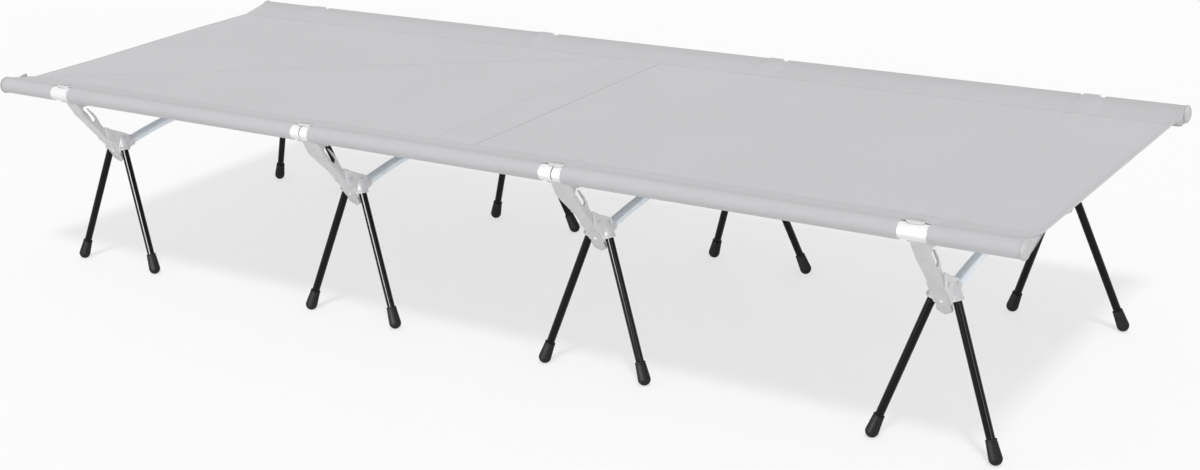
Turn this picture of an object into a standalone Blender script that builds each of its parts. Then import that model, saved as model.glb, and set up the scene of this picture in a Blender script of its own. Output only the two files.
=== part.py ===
"""Camping cot: a taut fabric bed on two long rails, carried by four arched crossbars.

Each end of a crossbar has a moulded hub with two splayed tube legs and a hinged lever arm.
The arm's hook holds the rail inside the fabric sleeve, through a window cut in the sleeve.

Lengths are in metres, Z is up, X runs along the bed and -Y is the near side.
The floor is Z = 0 and the origin is under the middle of the bed.
"""
import math

import bmesh
import bpy
from mathutils import Matrix, Vector

# Bed
RAIL_SPACING = 0.680            # between the two rail axes
RAIL_HEIGHT = 0.3445            # rail axes above the floor
BED_LENGTH = 1.900              # fabric, end to end
INNER_STATION = 0.2425          # leg sets, each way from the middle of the bed
OUTER_STATION = 0.803

# General fits
CLEARANCE = 0.0003              # left between pieces that touch
CUT_MARGIN = 0.004              # how far a cutter passes the surface that it opens

# Rails
RAIL_RADIUS = 0.0120
RAIL_WALL = 0.0015
RAIL_OVERHANG = 0.0005          # bare tube past the fabric, before the end plug
SPIGOT_LENGTH = 0.050           # reach of a middle section into the next section
SPIGOT_WALL = 0.0016
PLUG_FLANGE_RADIUS = 0.0146
PLUG_FLANGE_THICKNESS = 0.0020
PLUG_DOME_HEIGHT = 0.0048
PLUG_DEPTH = 0.012              # plug inside the tube

# Fabric
FABRIC_THICKNESS = 0.0012
SEAM_INSET = 0.0650             # sleeve seam, inboard of the rail axis
WINDOW_LENGTH = 0.042           # sleeve windows, along the rail, at the outer stations
INNER_WINDOW_LENGTH = 0.0380    # and at the inner stations
INNER_WINDOW_SHIFT = 0.0040     # those sit off the station, toward -X on the near side
WINDOW_TOP_INSET = 0.0140       # upper layer's cut edge, inboard of the rail axis
WINDOW_UNDER_INSET = 0.0200     # lower layer's cut edge

# Lever arms: the pivot lies below and inboard of the rail axis
PIVOT_INSET = 0.083
PIVOT_DROP = 0.0995
ARM_WIDTH = 0.0220              # in the fork of the hub, and down the tail
SHOULDER_WIDTH = 0.0240         # just below the head
TAPER_END = 0.0240              # the taper ends this far above the pivot
HEAD_WIDTH = 0.0260
HEAD_DEPTH = 0.036              # the wider head ends this far below the rail axis
ARM_PLATE = 0.0040              # outer plate of the channel
ARM_FLANGE = 0.0030             # side walls of the channel
ARM_FACE_OFFSET = 0.0081        # outer face, outboard of the line from pivot to rail
KNUCKLE_RADIUS = 0.0060
PIN_RADIUS = 0.0025
PIN_HEAD_RADIUS = 0.0042
PIN_HEAD_THICKNESS = 0.0013

# Hook round the rail, with angles measured from inboard, upward positive
HOOK_ROOT_THICKNESS = 0.0043
HOOK_TIP_THICKNESS = 0.0018
HOOK_TOP_ANGLE = 110.0
HOOK_ROOT_ANGLE = -20.0
HOOK_BOTTOM_ANGLE = -85.0
HOOK_LIP_THICKNESS = 0.0030

# Keyhole slot in the channel's side walls
KEYHOLE_BELOW_RAIL = 0.048      # head of the keyhole, along the arm from the rail axis
KEYHOLE_OFFSET = 0.0024         # inboard of the line from pivot to rail
KEYHOLE_RADIUS = 0.0060
KEYHOLE_NECK_LENGTH = 0.0330
KEYHOLE_NECK_WIDTH = 0.0074
KEYHOLE_NECK_LEAN = 4.0         # degrees toward the outer face
KNOB_SIZE = 0.0052

# Tail of the lever, which rests on the hub
TAIL_LENGTH = 0.0422
TAIL_THICKNESS = 0.0032
TAIL_LEAN = 28.6                # degrees from vertical
TAIL_FACE_OFFSET = 0.0049       # front face, outboard of the pivot
TAIL_POINT = 0.0062             # height of the pointed end

# Hub, measured from the pivot
CHEEK_THICKNESS = 0.0031
CHEEK_GAP = 0.0004              # beside the arm
FORK_DEPTH = 0.0073             # fork floor, inboard of the pivot
HUB_DEPTH = 0.0390
HUB_BOTTOM = 0.0360
LIP_DEPTH = 0.0530              # pointed lip behind the tail
LIP_THICKNESS = 0.0034

# Legs and their sockets
LEG_RADIUS = 0.0063
LEG_WALL = 0.0010
SOCKET_DEPTH = 0.0225
SOCKET_CAP = 0.0026
SOCKET_TOP_WALL = 0.0020
SOCKET_MOUTH_WALL = 0.0030
SOCKET_RIM_WALL = 0.0039
SOCKET_RIM_HEIGHT = 0.0030
MOUTH_SPREAD = 0.0179           # socket mouth, each way from the middle of the hub
MOUTH_INSET = 0.0215            # inboard of the pivot
MOUTH_DROP = 0.0297             # below the pivot
FOOT_SPREAD = 0.0915            # foot, each way from the middle of the hub
FOOT_INSET = 0.0733             # inboard of the rail axis

# Feet
FOOT_RADIUS = 0.0099
FOOT_COLLAR_RADIUS = 0.0083
FOOT_COLLAR_LENGTH = 0.0050
FOOT_HEIGHT = 0.0271            # from the middle of the ball end to the top of the collar
FOOT_FLOOR = 0.0040             # from the middle of the ball end to the leg's end

# Crossbars
BAR_RADIUS = 0.0082
BAR_WALL = 0.0012
BAR_END_LEAN = 11.1             # degrees, rising toward the middle
BAR_DROP = 0.0206               # axis below the pivot, at the collar's mouth
COLLAR_REACH = 0.0560           # mouth of the collar, inboard of the pivot
COLLAR_DEPTH = 0.0230
COLLAR_WALL = 0.0021
COLLAR_ROOT = 0.0320            # collar's other end, inside the hub

# Faceting
TUBE_SIDES = 18
LEG_SIDES = 10
FOOT_SIDES = 10
SOCKET_SIDES = 12
BAR_SIDES = 10
BAR_STEPS = 8
PIN_SIDES = 8
ARC_STEP = 32.0                 # degrees for each facet of a rounded corner
ROUND_STEP = 24.0               # degrees for each facet round the rail
SMOOTH_ANGLE = 38.0

# Values that follow from the ones above
RAIL_OFFSET = RAIL_SPACING / 2
STATIONS = (-OUTER_STATION, -INNER_STATION, INNER_STATION, OUTER_STATION)
PIVOT_Y = RAIL_OFFSET - PIVOT_INSET
PIVOT_Z = RAIL_HEIGHT - PIVOT_DROP
ROUND_INNER = (RAIL_RADIUS + CLEARANCE) / math.cos(math.radians(ROUND_STEP / 2))
HOOK_INNER = ROUND_INNER
SLEEVE_INNER = ROUND_INNER
SLEEVE_OUTER = SLEEVE_INNER + FABRIC_THICKNESS
RAIL_POINT = Vector((-PIVOT_INSET, PIVOT_DROP))
ARM_LENGTH = RAIL_POINT.length
ARM_DIRECTION = RAIL_POINT.normalized()
ARM_NORMAL = Vector((ARM_DIRECTION.y, -ARM_DIRECTION.x))
TAIL_DIRECTION = Vector((math.sin(math.radians(TAIL_LEAN)), -math.cos(math.radians(TAIL_LEAN))))
TAIL_NORMAL = Vector((-TAIL_DIRECTION.y, TAIL_DIRECTION.x))
HUB_HALF_WIDTH = ARM_WIDTH / 2 + CHEEK_GAP + CHEEK_THICKNESS
BORE_RADIUS = LEG_RADIUS + CLEARANCE
COLLAR_BORE = BAR_RADIUS + CLEARANCE


def clear_scene():
    """Remove every object that the file holds."""
    for obj in list(bpy.data.objects):
        bpy.data.objects.remove(obj, do_unlink=True)


def make_material(name, colour, roughness, metallic):
    """Give a material with one Principled surface."""
    material = bpy.data.materials.new(name)
    material.use_nodes = True
    shader = material.node_tree.nodes["Principled BSDF"]
    shader.inputs["Base Color"].default_value = (*colour, 1.0)
    shader.inputs["Roughness"].default_value = roughness
    shader.inputs["Metallic"].default_value = metallic
    material.diffuse_color = (*colour, 1.0)
    return material


def polar(radius, degrees):
    """Give the plane point at a radius and an angle."""
    angle = math.radians(degrees)
    return Vector((radius * math.cos(angle), radius * math.sin(angle)))


def arc(centre, radius, start, end, facet=ARC_STEP):
    """Give points along an arc, with both ends, in degrees."""
    steps = max(2, math.ceil(abs(end - start) / facet))
    return [centre + polar(radius, start + (end - start) * k / steps) for k in range(steps + 1)]


def rounded(corners):
    """Give an outline whose corners, each a point and a radius, are rounded."""
    points = []
    count = len(corners)
    for index, (corner, radius) in enumerate(corners):
        if radius <= 0:
            points.append(corner)
            continue
        before = (corners[index - 1][0] - corner)
        after = (corners[(index + 1) % count][0] - corner)
        half = before.angle(after) / 2
        reach = min(radius / math.tan(half), 0.45 * before.length, 0.45 * after.length)
        start = corner + before.normalized() * reach
        end = corner + after.normalized() * reach
        steps = max(1, round(math.degrees(math.pi - 2 * half) / ARC_STEP))
        for step in range(steps + 1):
            share = step / steps
            first = start.lerp(corner, share)
            second = corner.lerp(end, share)
            points.append(first.lerp(second, share))
    return points


def finish_mesh(bm, name):
    """Turn a bmesh into a mesh with its faces pointing out."""
    bmesh.ops.remove_doubles(bm, verts=bm.verts, dist=1e-6)
    bmesh.ops.recalc_face_normals(bm, faces=bm.faces)
    mesh = bpy.data.meshes.new(name)
    bm.to_mesh(mesh)
    bm.free()
    return mesh


def extruded(name, outline, half_width):
    """Extrude an outline in the YZ plane both ways along X."""
    bm = bmesh.new()
    verts = [bm.verts.new((-half_width, point.x, point.y)) for point in outline]
    face = bm.faces.new(verts)
    pushed = bmesh.ops.extrude_face_region(bm, geom=[face])
    moved = [item for item in pushed["geom"] if isinstance(item, bmesh.types.BMVert)]
    bmesh.ops.translate(bm, verts=moved, vec=(2 * half_width, 0, 0))
    return finish_mesh(bm, name)


def turned(name, profile, sides, closed=False):
    """Spin a profile of radius and height pairs round Z."""
    bm = bmesh.new()
    verts = [bm.verts.new((radius, 0, height)) for radius, height in profile]
    pairs = list(zip(verts, verts[1:]))
    if closed:
        pairs.append((verts[-1], verts[0]))
    edges = [bm.edges.new(pair) for pair in pairs]
    bmesh.ops.spin(bm, geom=verts + edges, cent=(0, 0, 0), axis=(0, 0, 1),
                   angle=2 * math.pi, steps=sides, use_merge=True)
    return finish_mesh(bm, name)


def swept_tube(name, path, radius, wall, sides):
    """Sweep a hollow round section along a path that lies in the YZ plane."""
    bm = bmesh.new()
    rings = []
    for index, point in enumerate(path):
        before = path[max(index - 1, 0)]
        after = path[min(index + 1, len(path) - 1)]
        along = (after - before).normalized()
        across = Vector((1, 0, 0))
        upward = along.cross(across)
        for reach in (radius, radius - wall):
            ring = []
            for side in range(sides):
                turn = 2 * math.pi * side / sides
                offset = across * math.cos(turn) + upward * math.sin(turn)
                ring.append(bm.verts.new(point + offset * reach))
            rings.append(ring)
    outer = rings[0::2]
    inner = rings[1::2]
    for shell in (outer, inner):
        for first, second in zip(shell, shell[1:]):
            bridge(bm, first, second)
    bridge(bm, outer[0], inner[0])
    bridge(bm, outer[-1], inner[-1])
    return finish_mesh(bm, name)


def bridge(bm, first, second):
    """Join two rings of as many points with faces."""
    count = len(first)
    for index in range(count):
        other = (index + 1) % count
        bm.faces.new((first[index], first[other], second[other], second[index]))


def boolean(mesh, operation, cutters):
    """Give the mesh after a union or a difference with each of the others in turn."""
    base = bpy.data.objects.new("base", mesh)
    bpy.context.scene.collection.objects.link(base)
    tools = []
    for number, cutter in enumerate(cutters):
        tool = bpy.data.objects.new(f"cutter_{number}", cutter)
        tool.hide_render = True
        tool.display_type = "WIRE"
        bpy.context.scene.collection.objects.link(tool)
        modifier = base.modifiers.new(f"step_{number}", "BOOLEAN")
        modifier.operation = operation
        modifier.solver = "EXACT"
        modifier.object = tool
        tools.append(tool)
    evaluated = base.evaluated_get(bpy.context.evaluated_depsgraph_get())
    result = bpy.data.meshes.new_from_object(evaluated)
    for obj in [base, *tools]:
        bpy.data.objects.remove(obj, do_unlink=True)
    return result


def placed(mesh, matrix):
    """Move a mesh's points by a matrix."""
    mesh.transform(matrix)
    return mesh


def box(low, high):
    """Give a box mesh between two corners."""
    bm = bmesh.new()
    bmesh.ops.create_cube(bm, size=1.0)
    size = Vector(high) - Vector(low)
    middle = (Vector(high) + Vector(low)) / 2
    bmesh.ops.transform(bm, matrix=Matrix.Translation(middle) @ Matrix.Diagonal((*size, 1)),
                        verts=bm.verts)
    return finish_mesh(bm, "box")


def add_object(name, mesh, material, matrix):
    """Add one named piece, at its own origin, with its own material."""
    obj = bpy.data.objects.new(name, mesh)
    obj.matrix_world = matrix
    if not mesh.materials:
        mesh.materials.append(material)
    mesh.shade_smooth()
    mesh.set_sharp_from_angle(angle=math.radians(SMOOTH_ANGLE))
    bpy.context.scene.collection.objects.link(obj)
    return obj


def side_matrix(station, far):
    """Place a piece modelled round the pivot of a near-side hub."""
    turn = Matrix.Rotation(math.pi if far else 0.0, 4, "Z")
    return Matrix.Translation((station, 0, PIVOT_Z)) @ turn @ Matrix.Translation((0, -PIVOT_Y, 0))


def arm_point(along, inward):
    """Give a point of the arm by its distance up the arm and inboard of its middle line."""
    return ARM_DIRECTION * along + ARM_NORMAL * inward


def tail_point(along, behind):
    """Give a point of the tail by its distance down the tail and behind its front face."""
    base = TAIL_NORMAL * -TAIL_FACE_OFFSET
    return base + TAIL_DIRECTION * along + TAIL_NORMAL * behind


def tail_root():
    """Give how far down the tail its front face meets the arm's outer face."""
    start = TAIL_NORMAL * -TAIL_FACE_OFFSET
    gap = ARM_NORMAL.dot(start) + ARM_FACE_OFFSET
    return -gap / ARM_NORMAL.dot(TAIL_DIRECTION)


def tail_end():
    """Give how far down the tail its point lies, from the pivot's level."""
    return tail_root() + TAIL_LENGTH


def hook_outline():
    """Give the hook's inner arc and outer arc, joined at its tip."""
    inner = arc(RAIL_POINT, HOOK_INNER, HOOK_BOTTOM_ANGLE, HOOK_TOP_ANGLE, ROUND_STEP)
    steps = max(2, math.ceil((HOOK_TOP_ANGLE - HOOK_ROOT_ANGLE) / ROUND_STEP))
    outer = []
    for step in range(steps + 1):
        share = step / steps
        thickness = HOOK_TIP_THICKNESS + (HOOK_ROOT_THICKNESS - HOOK_TIP_THICKNESS) * share ** 0.5
        angle = HOOK_TOP_ANGLE + (HOOK_ROOT_ANGLE - HOOK_TOP_ANGLE) * share
        outer.append(RAIL_POINT + polar(HOOK_INNER + thickness, angle))
    return inner + outer


def keyhole_outline():
    """Give the open keyhole between the knob and the finger."""
    centre = arm_point(ARM_LENGTH - KEYHOLE_BELOW_RAIL, KEYHOLE_OFFSET)
    neck = (-ARM_DIRECTION).copy()
    neck.rotate(Matrix.Rotation(math.radians(-KEYHOLE_NECK_LEAN), 2))
    across = Vector((neck.y, -neck.x))
    half = KEYHOLE_NECK_WIDTH / 2
    lean = math.degrees(math.atan2(neck.y, neck.x))
    spread = math.degrees(math.asin(half / KEYHOLE_RADIUS))
    head = arc(centre, KEYHOLE_RADIUS, 45.0, 360.0 + lean - spread)
    end = centre + neck * (KEYHOLE_NECK_LENGTH - half)
    turn = math.degrees(math.atan2(across.y, across.x))
    tip = arc(end, half, turn, turn + 180.0)
    tip_out = [end + neck * half]
    finger = arc(centre, KEYHOLE_RADIUS, lean + spread, lean + spread + 12.0)[-2:]
    return head + [tip[0]] + tip_out + [tip[-1]] + finger


def arm_outline():
    """Give the lever arm's side outline, with its hook, keyhole, finger and tail."""
    below = ARM_LENGTH - KEYHOLE_BELOW_RAIL
    knob = arm_point(below + 0.0040, KEYHOLE_OFFSET + KEYHOLE_RADIUS + KNOB_SIZE / 2)
    head = rounded([
        (RAIL_POINT + polar(HOOK_INNER + HOOK_ROOT_THICKNESS, HOOK_ROOT_ANGLE), 0),
        (arm_point(ARM_LENGTH - 0.0230, 0.0075), 0.004),
        (knob + arm_point(KNOB_SIZE, -0.0010), 0.002),
        (knob + arm_point(KNOB_SIZE * 0.3, KNOB_SIZE * 0.75), 0.002),
        (knob + arm_point(-KNOB_SIZE * 0.6, KNOB_SIZE * 0.2), 0.0015),
        (arm_point(below, KEYHOLE_OFFSET) + polar(KEYHOLE_RADIUS, 45.0), 0),
    ])[1:-1]
    finger = rounded([
        (keyhole_outline()[-1], 0),
        (arm_point(below - 0.0075, 0.0080), 0.0012),
        (arm_point(below - 0.0220, 0.0090), 0.008),
        (arm_point(below - 0.0330, 0.0079), 0.008),
        (arm_point(0.0370, 0.0045), 0.006),
        (arm_point(0.0270, 0.0032), 0.006),
        (arm_point(0.0140, KNUCKLE_RADIUS), 0),
    ])[1:-1]
    knuckle_start = math.degrees(math.atan2(ARM_NORMAL.y, ARM_NORMAL.x))
    hidden = math.degrees(math.acos((TAIL_FACE_OFFSET - TAIL_THICKNESS) / KNUCKLE_RADIUS))
    knuckle_end = math.degrees(math.atan2(-TAIL_NORMAL.y, -TAIL_NORMAL.x)) + hidden
    knuckle = arc(Vector((0, 0)), KNUCKLE_RADIUS, knuckle_start, knuckle_end)
    tail = [
        tail_point(tail_end(), TAIL_THICKNESS),
        tail_point(tail_end(), 0),
    ]
    outer = rounded([
        (tail_point(tail_end(), 0), 0),
        (tail_point(tail_root(), 0), 0.008),
        (arm_point(ARM_LENGTH - 0.0530, -ARM_FACE_OFFSET), 0.020),
        (arm_point(ARM_LENGTH - 0.0253, -0.0026), 0.006),
        (RAIL_POINT + polar(HOOK_INNER + HOOK_LIP_THICKNESS, HOOK_BOTTOM_ANGLE), 0),
    ])[1:]
    return hook_outline() + head + keyhole_outline() + finger + knuckle + tail + outer


def pointed_cut(name, tip, half_width, rise):
    """Give a cutter that leaves a plate's lower end pointed."""
    low = tip - 0.060
    bm = bmesh.new()
    outline = [(0, tip), (half_width, tip + rise), (half_width * 3, tip + rise),
               (half_width * 3, low), (-half_width * 3, low), (-half_width * 3, tip + rise),
               (-half_width, tip + rise)]
    verts = [bm.verts.new((x, -0.060, z)) for x, z in outline]
    face = bm.faces.new(verts)
    pushed = bmesh.ops.extrude_face_region(bm, geom=[face])
    moved = [item for item in pushed["geom"] if isinstance(item, bmesh.types.BMVert)]
    bmesh.ops.translate(bm, verts=moved, vec=(0, 0.160, 0))
    return finish_mesh(bm, name)


def flank_cut(side, low_half, high_half, level):
    """Give a cutter that narrows the arm on one side, tapering below a level."""
    reach = ARM_LENGTH
    bm = bmesh.new()
    outline = [(high_half, level), (low_half, TAPER_END), (low_half, -reach), (reach, -reach),
               (reach, level)]
    verts = [bm.verts.new((side * x, -reach, z)) for x, z in outline]
    face = bm.faces.new(verts)
    pushed = bmesh.ops.extrude_face_region(bm, geom=[face])
    moved = [item for item in pushed["geom"] if isinstance(item, bmesh.types.BMVert)]
    bmesh.ops.translate(bm, verts=moved, vec=(0, 2 * reach, 0))
    return finish_mesh(bm, "flank")


def turned_along_x(name, profile, sides):
    """Spin a profile round X."""
    mesh = turned(name, profile, sides)
    return placed(mesh, Matrix.Rotation(math.pi / 2, 4, "Y"))


def make_arm_mesh():
    """Model the lever arm: hook, channel with keyhole, knuckle, tail and pivot pin."""
    body = extruded("lever_arm", arm_outline(), HEAD_WIDTH / 2)
    half = ARM_WIDTH / 2
    step_level = RAIL_POINT.y - HEAD_DEPTH
    flanks = [flank_cut(side, half, SHOULDER_WIDTH / 2, step_level) for side in (-1, 1)]
    inside = -ARM_FACE_OFFSET + ARM_PLATE
    channel = [
        arm_point(0.0140, inside),
        arm_point(ARM_LENGTH - 0.0500, inside),
        arm_point(ARM_LENGTH - 0.0270, inside + 0.0046),
        arm_point(ARM_LENGTH - 0.0270, 0.030),
        arm_point(0.0140, 0.030),
    ]
    hollow = extruded("channel", channel, half - ARM_FLANGE)
    point = tail_point(tail_end(), 0).y
    cuts = [*flanks, hollow, pointed_cut("tail_point", point, half, TAIL_POINT)]
    shaped = boolean(body, "DIFFERENCE", cuts)
    shank = HUB_HALF_WIDTH + CLEARANCE
    pin = turned_along_x("pin", [
        (0, -shank - PIN_HEAD_THICKNESS),
        (PIN_HEAD_RADIUS * 0.8, -shank - PIN_HEAD_THICKNESS),
        (PIN_HEAD_RADIUS, -shank),
        (PIN_RADIUS, -shank),
        (PIN_RADIUS, shank),
        (PIN_HEAD_RADIUS, shank),
        (PIN_HEAD_RADIUS * 0.8, shank + PIN_HEAD_THICKNESS),
        (0, shank + PIN_HEAD_THICKNESS),
    ], PIN_SIDES)
    return boolean(shaped, "UNION", [pin])


def mouth_point(side):
    """Give the middle of a socket's mouth, measured from the pivot."""
    return Vector((side * MOUTH_SPREAD, MOUTH_INSET, -MOUTH_DROP))


def foot_point(side):
    """Give the middle of a foot's ball end, measured from the pivot."""
    return Vector((side * FOOT_SPREAD, FOOT_INSET - PIVOT_INSET, FOOT_RADIUS - PIVOT_Z))


def leg_matrix(side, start):
    """Give a frame with Z up the leg and X toward the floor, so a facet's point meets it."""
    upward = (mouth_point(side) - foot_point(side)).normalized()
    down = Vector((0, 0, -1))
    forward = (down - upward * down.dot(upward)).normalized()
    across = upward.cross(forward)
    rotation = Matrix((forward, across, upward)).transposed().to_4x4()
    return Matrix.Translation(start) @ rotation


def leg_lean():
    """Give the leg's angle from upright."""
    upward = (mouth_point(1) - foot_point(1)).normalized()
    return math.degrees(math.acos(upward.z))


def bar_axis(distance, level_offset=0.0):
    """Give the crossbar's axis in a hub by the distance inboard of the collar's mouth."""
    lean = math.radians(BAR_END_LEAN)
    along = Vector((0, math.cos(lean), math.sin(lean)))
    return Vector((0, COLLAR_REACH, -BAR_DROP + level_offset)) + along * distance


def hub_front():
    """Give the hub's surface behind the arm and the tail, top to bottom."""
    gap = TAIL_THICKNESS + CLEARANCE
    return [
        Vector((FORK_DEPTH, 0.0300)),
        Vector((FORK_DEPTH, -0.0040)),
        tail_point(0.0125, gap),
        tail_point(tail_end() + 0.0100, gap),
    ]


def make_hub_mesh():
    """Model the hub: forked cheeks, two leg sockets, the crossbar collar and a lip."""
    outline = rounded([
        (Vector((-0.0140, 0.0235)), 0.002),
        (Vector((0.0040, 0.0130)), 0.010),
        (Vector((0.0210, 0.0050)), 0.010),
        (Vector((0.0350, -0.0015)), 0.004),
        (Vector((HUB_DEPTH, -0.0070)), 0.004),
        (Vector((HUB_DEPTH, -HUB_BOTTOM + 0.0090)), 0.006),
        (Vector((HUB_DEPTH - 0.0110, -HUB_BOTTOM)), 0.004),
        (tail_point(tail_root() + 0.0200, 0.0010), 0),
        (tail_point(tail_root() + 0.0010, 0.0010), 0.005),
        (Vector((-0.0088, -0.0030)), 0.008),
    ])
    core = extruded("hub", outline, HUB_HALF_WIDTH)
    gap = TAIL_THICKNESS + CLEARANCE
    lip_end = tail_end() + (LIP_DEPTH + tail_point(tail_end(), gap).y) / -TAIL_DIRECTION.y
    lip = extruded("lip", [
        tail_point(0.0200, gap - 0.0002),
        tail_point(lip_end, gap - 0.0002),
        tail_point(lip_end, gap + LIP_THICKNESS),
        tail_point(0.0200, gap + LIP_THICKNESS),
    ], ARM_WIDTH / 2)
    point = tail_point(lip_end, gap).y
    lip = boolean(lip, "DIFFERENCE",
                  [pointed_cut("lip_point", point, ARM_WIDTH / 2, TAIL_POINT)])
    additions = [lip]
    bores = []
    for side in (-1, 1):
        frame = leg_matrix(side, mouth_point(side))
        socket = turned("socket", [
            (0, SOCKET_DEPTH + SOCKET_CAP),
            (BORE_RADIUS + SOCKET_TOP_WALL * 0.5, SOCKET_DEPTH + SOCKET_CAP),
            (BORE_RADIUS + SOCKET_TOP_WALL, SOCKET_DEPTH * 0.9),
            (BORE_RADIUS + SOCKET_MOUTH_WALL, SOCKET_RIM_HEIGHT * 1.5),
            (BORE_RADIUS + SOCKET_RIM_WALL, SOCKET_RIM_HEIGHT),
            (BORE_RADIUS + SOCKET_RIM_WALL, 0),
            (0, 0),
        ], SOCKET_SIDES)
        additions.append(placed(socket, frame))
        bore = turned("bore", [
            (0, SOCKET_DEPTH),
            (BORE_RADIUS, SOCKET_DEPTH),
            (BORE_RADIUS, -CUT_MARGIN),
            (0, -CUT_MARGIN),
        ], LEG_SIDES)
        bores.append(placed(bore, frame))
    lean = Matrix.Rotation(math.radians(BAR_END_LEAN) - math.pi / 2, 4, "X")
    frame = Matrix.Translation(bar_axis(0)) @ lean
    collar_radius = COLLAR_BORE + COLLAR_WALL
    collar = turned("collar", [
        (0, -COLLAR_ROOT),
        (collar_radius, -COLLAR_ROOT),
        (collar_radius, 0),
        (0, 0),
    ], SOCKET_SIDES)
    additions.append(placed(collar, frame))
    socket_bore = turned("bar_bore", [
        (0, -COLLAR_DEPTH),
        (COLLAR_BORE, -COLLAR_DEPTH),
        (COLLAR_BORE, CUT_MARGIN),
        (0, CUT_MARGIN),
    ], BAR_SIDES)
    bores.append(placed(socket_bore, frame))
    front = hub_front()
    fork = extruded("fork", [*front, front[-1] + Vector((-0.120, 0)), front[0] + Vector((-0.120, 0))],
                    ARM_WIDTH / 2 + CHEEK_GAP)
    hole = turned_along_x("pin_hole", [
        (0, -HUB_HALF_WIDTH - CUT_MARGIN),
        (PIN_RADIUS + CLEARANCE, -HUB_HALF_WIDTH - CUT_MARGIN),
        (PIN_RADIUS + CLEARANCE, HUB_HALF_WIDTH + CUT_MARGIN),
        (0, HUB_HALF_WIDTH + CUT_MARGIN),
    ], PIN_SIDES)
    solid = boolean(core, "UNION", additions)
    return boolean(solid, "DIFFERENCE", [*bores, fork, hole])


def make_leg_mesh():
    """Model a leg tube, from inside its socket to inside its foot."""
    length = (mouth_point(1) - foot_point(1)).length
    low = FOOT_FLOOR + CLEARANCE
    high = length + SOCKET_DEPTH - CLEARANCE
    return turned("leg", [
        (LEG_RADIUS, high),
        (LEG_RADIUS, low),
        (LEG_RADIUS - LEG_WALL, low),
        (LEG_RADIUS - LEG_WALL, high),
    ], LEG_SIDES, closed=True)


def make_foot_mesh():
    """Model a rubber foot with a ball end, a collar and a bore for the leg."""
    lean = leg_lean()
    angles = [math.radians(angle) for angle in (lean, (lean + 90.0) / 2)]
    ball = [(FOOT_RADIUS * math.sin(angle), -FOOT_RADIUS * math.cos(angle)) for angle in angles]
    bore = LEG_RADIUS + CLEARANCE
    profile = [(0, -FOOT_RADIUS), *ball]
    profile += [
        (FOOT_RADIUS, 0.0),
        (FOOT_COLLAR_RADIUS, FOOT_HEIGHT - FOOT_COLLAR_LENGTH),
        (FOOT_COLLAR_RADIUS, FOOT_HEIGHT),
        (bore, FOOT_HEIGHT),
        (bore, FOOT_FLOOR),
        (0, FOOT_FLOOR),
    ]
    return turned("foot", profile, FOOT_SIDES)


def make_crossbar_mesh():
    """Model an arched crossbar whose straight ends fit the collars."""
    ends = []
    for distance in (-COLLAR_DEPTH + CLEARANCE, BAR_RADIUS):
        spot = bar_axis(distance)
        ends.append(Vector((0, spot.y - PIVOT_Y, spot.z + PIVOT_Z)))
    lean = math.radians(BAR_END_LEAN)
    half = -ends[-1].y
    bend = half / math.sin(lean)
    path = [ends[0]]
    for step in range(BAR_STEPS + 1):
        turn = lean * (2 * step / BAR_STEPS - 1)
        drop = bend * (math.cos(turn) - math.cos(lean))
        path.append(Vector((0, bend * math.sin(turn), ends[-1].z + drop)))
    path.append(Vector((0, -ends[0].y, ends[0].z)))
    return swept_tube("crossbar", path, BAR_RADIUS, BAR_WALL, BAR_SIDES)


def make_middle_rail_mesh():
    """Model a middle rail section with a spigot at each end."""
    half = INNER_STATION - CLEARANCE / 2
    spigot = RAIL_RADIUS - RAIL_WALL - CLEARANCE
    reach = INNER_STATION + SPIGOT_LENGTH
    profile = [
        (spigot - SPIGOT_WALL, -reach), (spigot, -reach), (spigot, -half), (RAIL_RADIUS, -half),
        (RAIL_RADIUS, half), (spigot, half), (spigot, reach), (spigot - SPIGOT_WALL, reach),
    ]
    mesh = turned("middle_rail", profile, TUBE_SIDES, closed=True)
    return placed(mesh, Matrix.Rotation(math.pi / 2, 4, "Y"))


def make_end_rail_mesh():
    """Model an end rail section that closes in a domed plug at +X."""
    start = INNER_STATION + CLEARANCE / 2
    end = BED_LENGTH / 2 + RAIL_OVERHANG
    bore = RAIL_RADIUS - RAIL_WALL
    flange = end + PLUG_FLANGE_THICKNESS
    profile = [
        (bore, start), (RAIL_RADIUS, start), (RAIL_RADIUS, end), (PLUG_FLANGE_RADIUS, end),
        (PLUG_FLANGE_RADIUS, flange),
        (PLUG_FLANGE_RADIUS * 0.84, flange + PLUG_DOME_HEIGHT * 0.45),
        (PLUG_FLANGE_RADIUS * 0.50, flange + PLUG_DOME_HEIGHT * 0.87),
        (0, flange + PLUG_DOME_HEIGHT),
    ]
    profile += [(0, end - PLUG_DEPTH), (bore, end - PLUG_DEPTH)]
    mesh = turned("end_rail", profile, TUBE_SIDES, closed=True)
    return placed(mesh, Matrix.Rotation(math.pi / 2, 4, "Y"))


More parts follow.
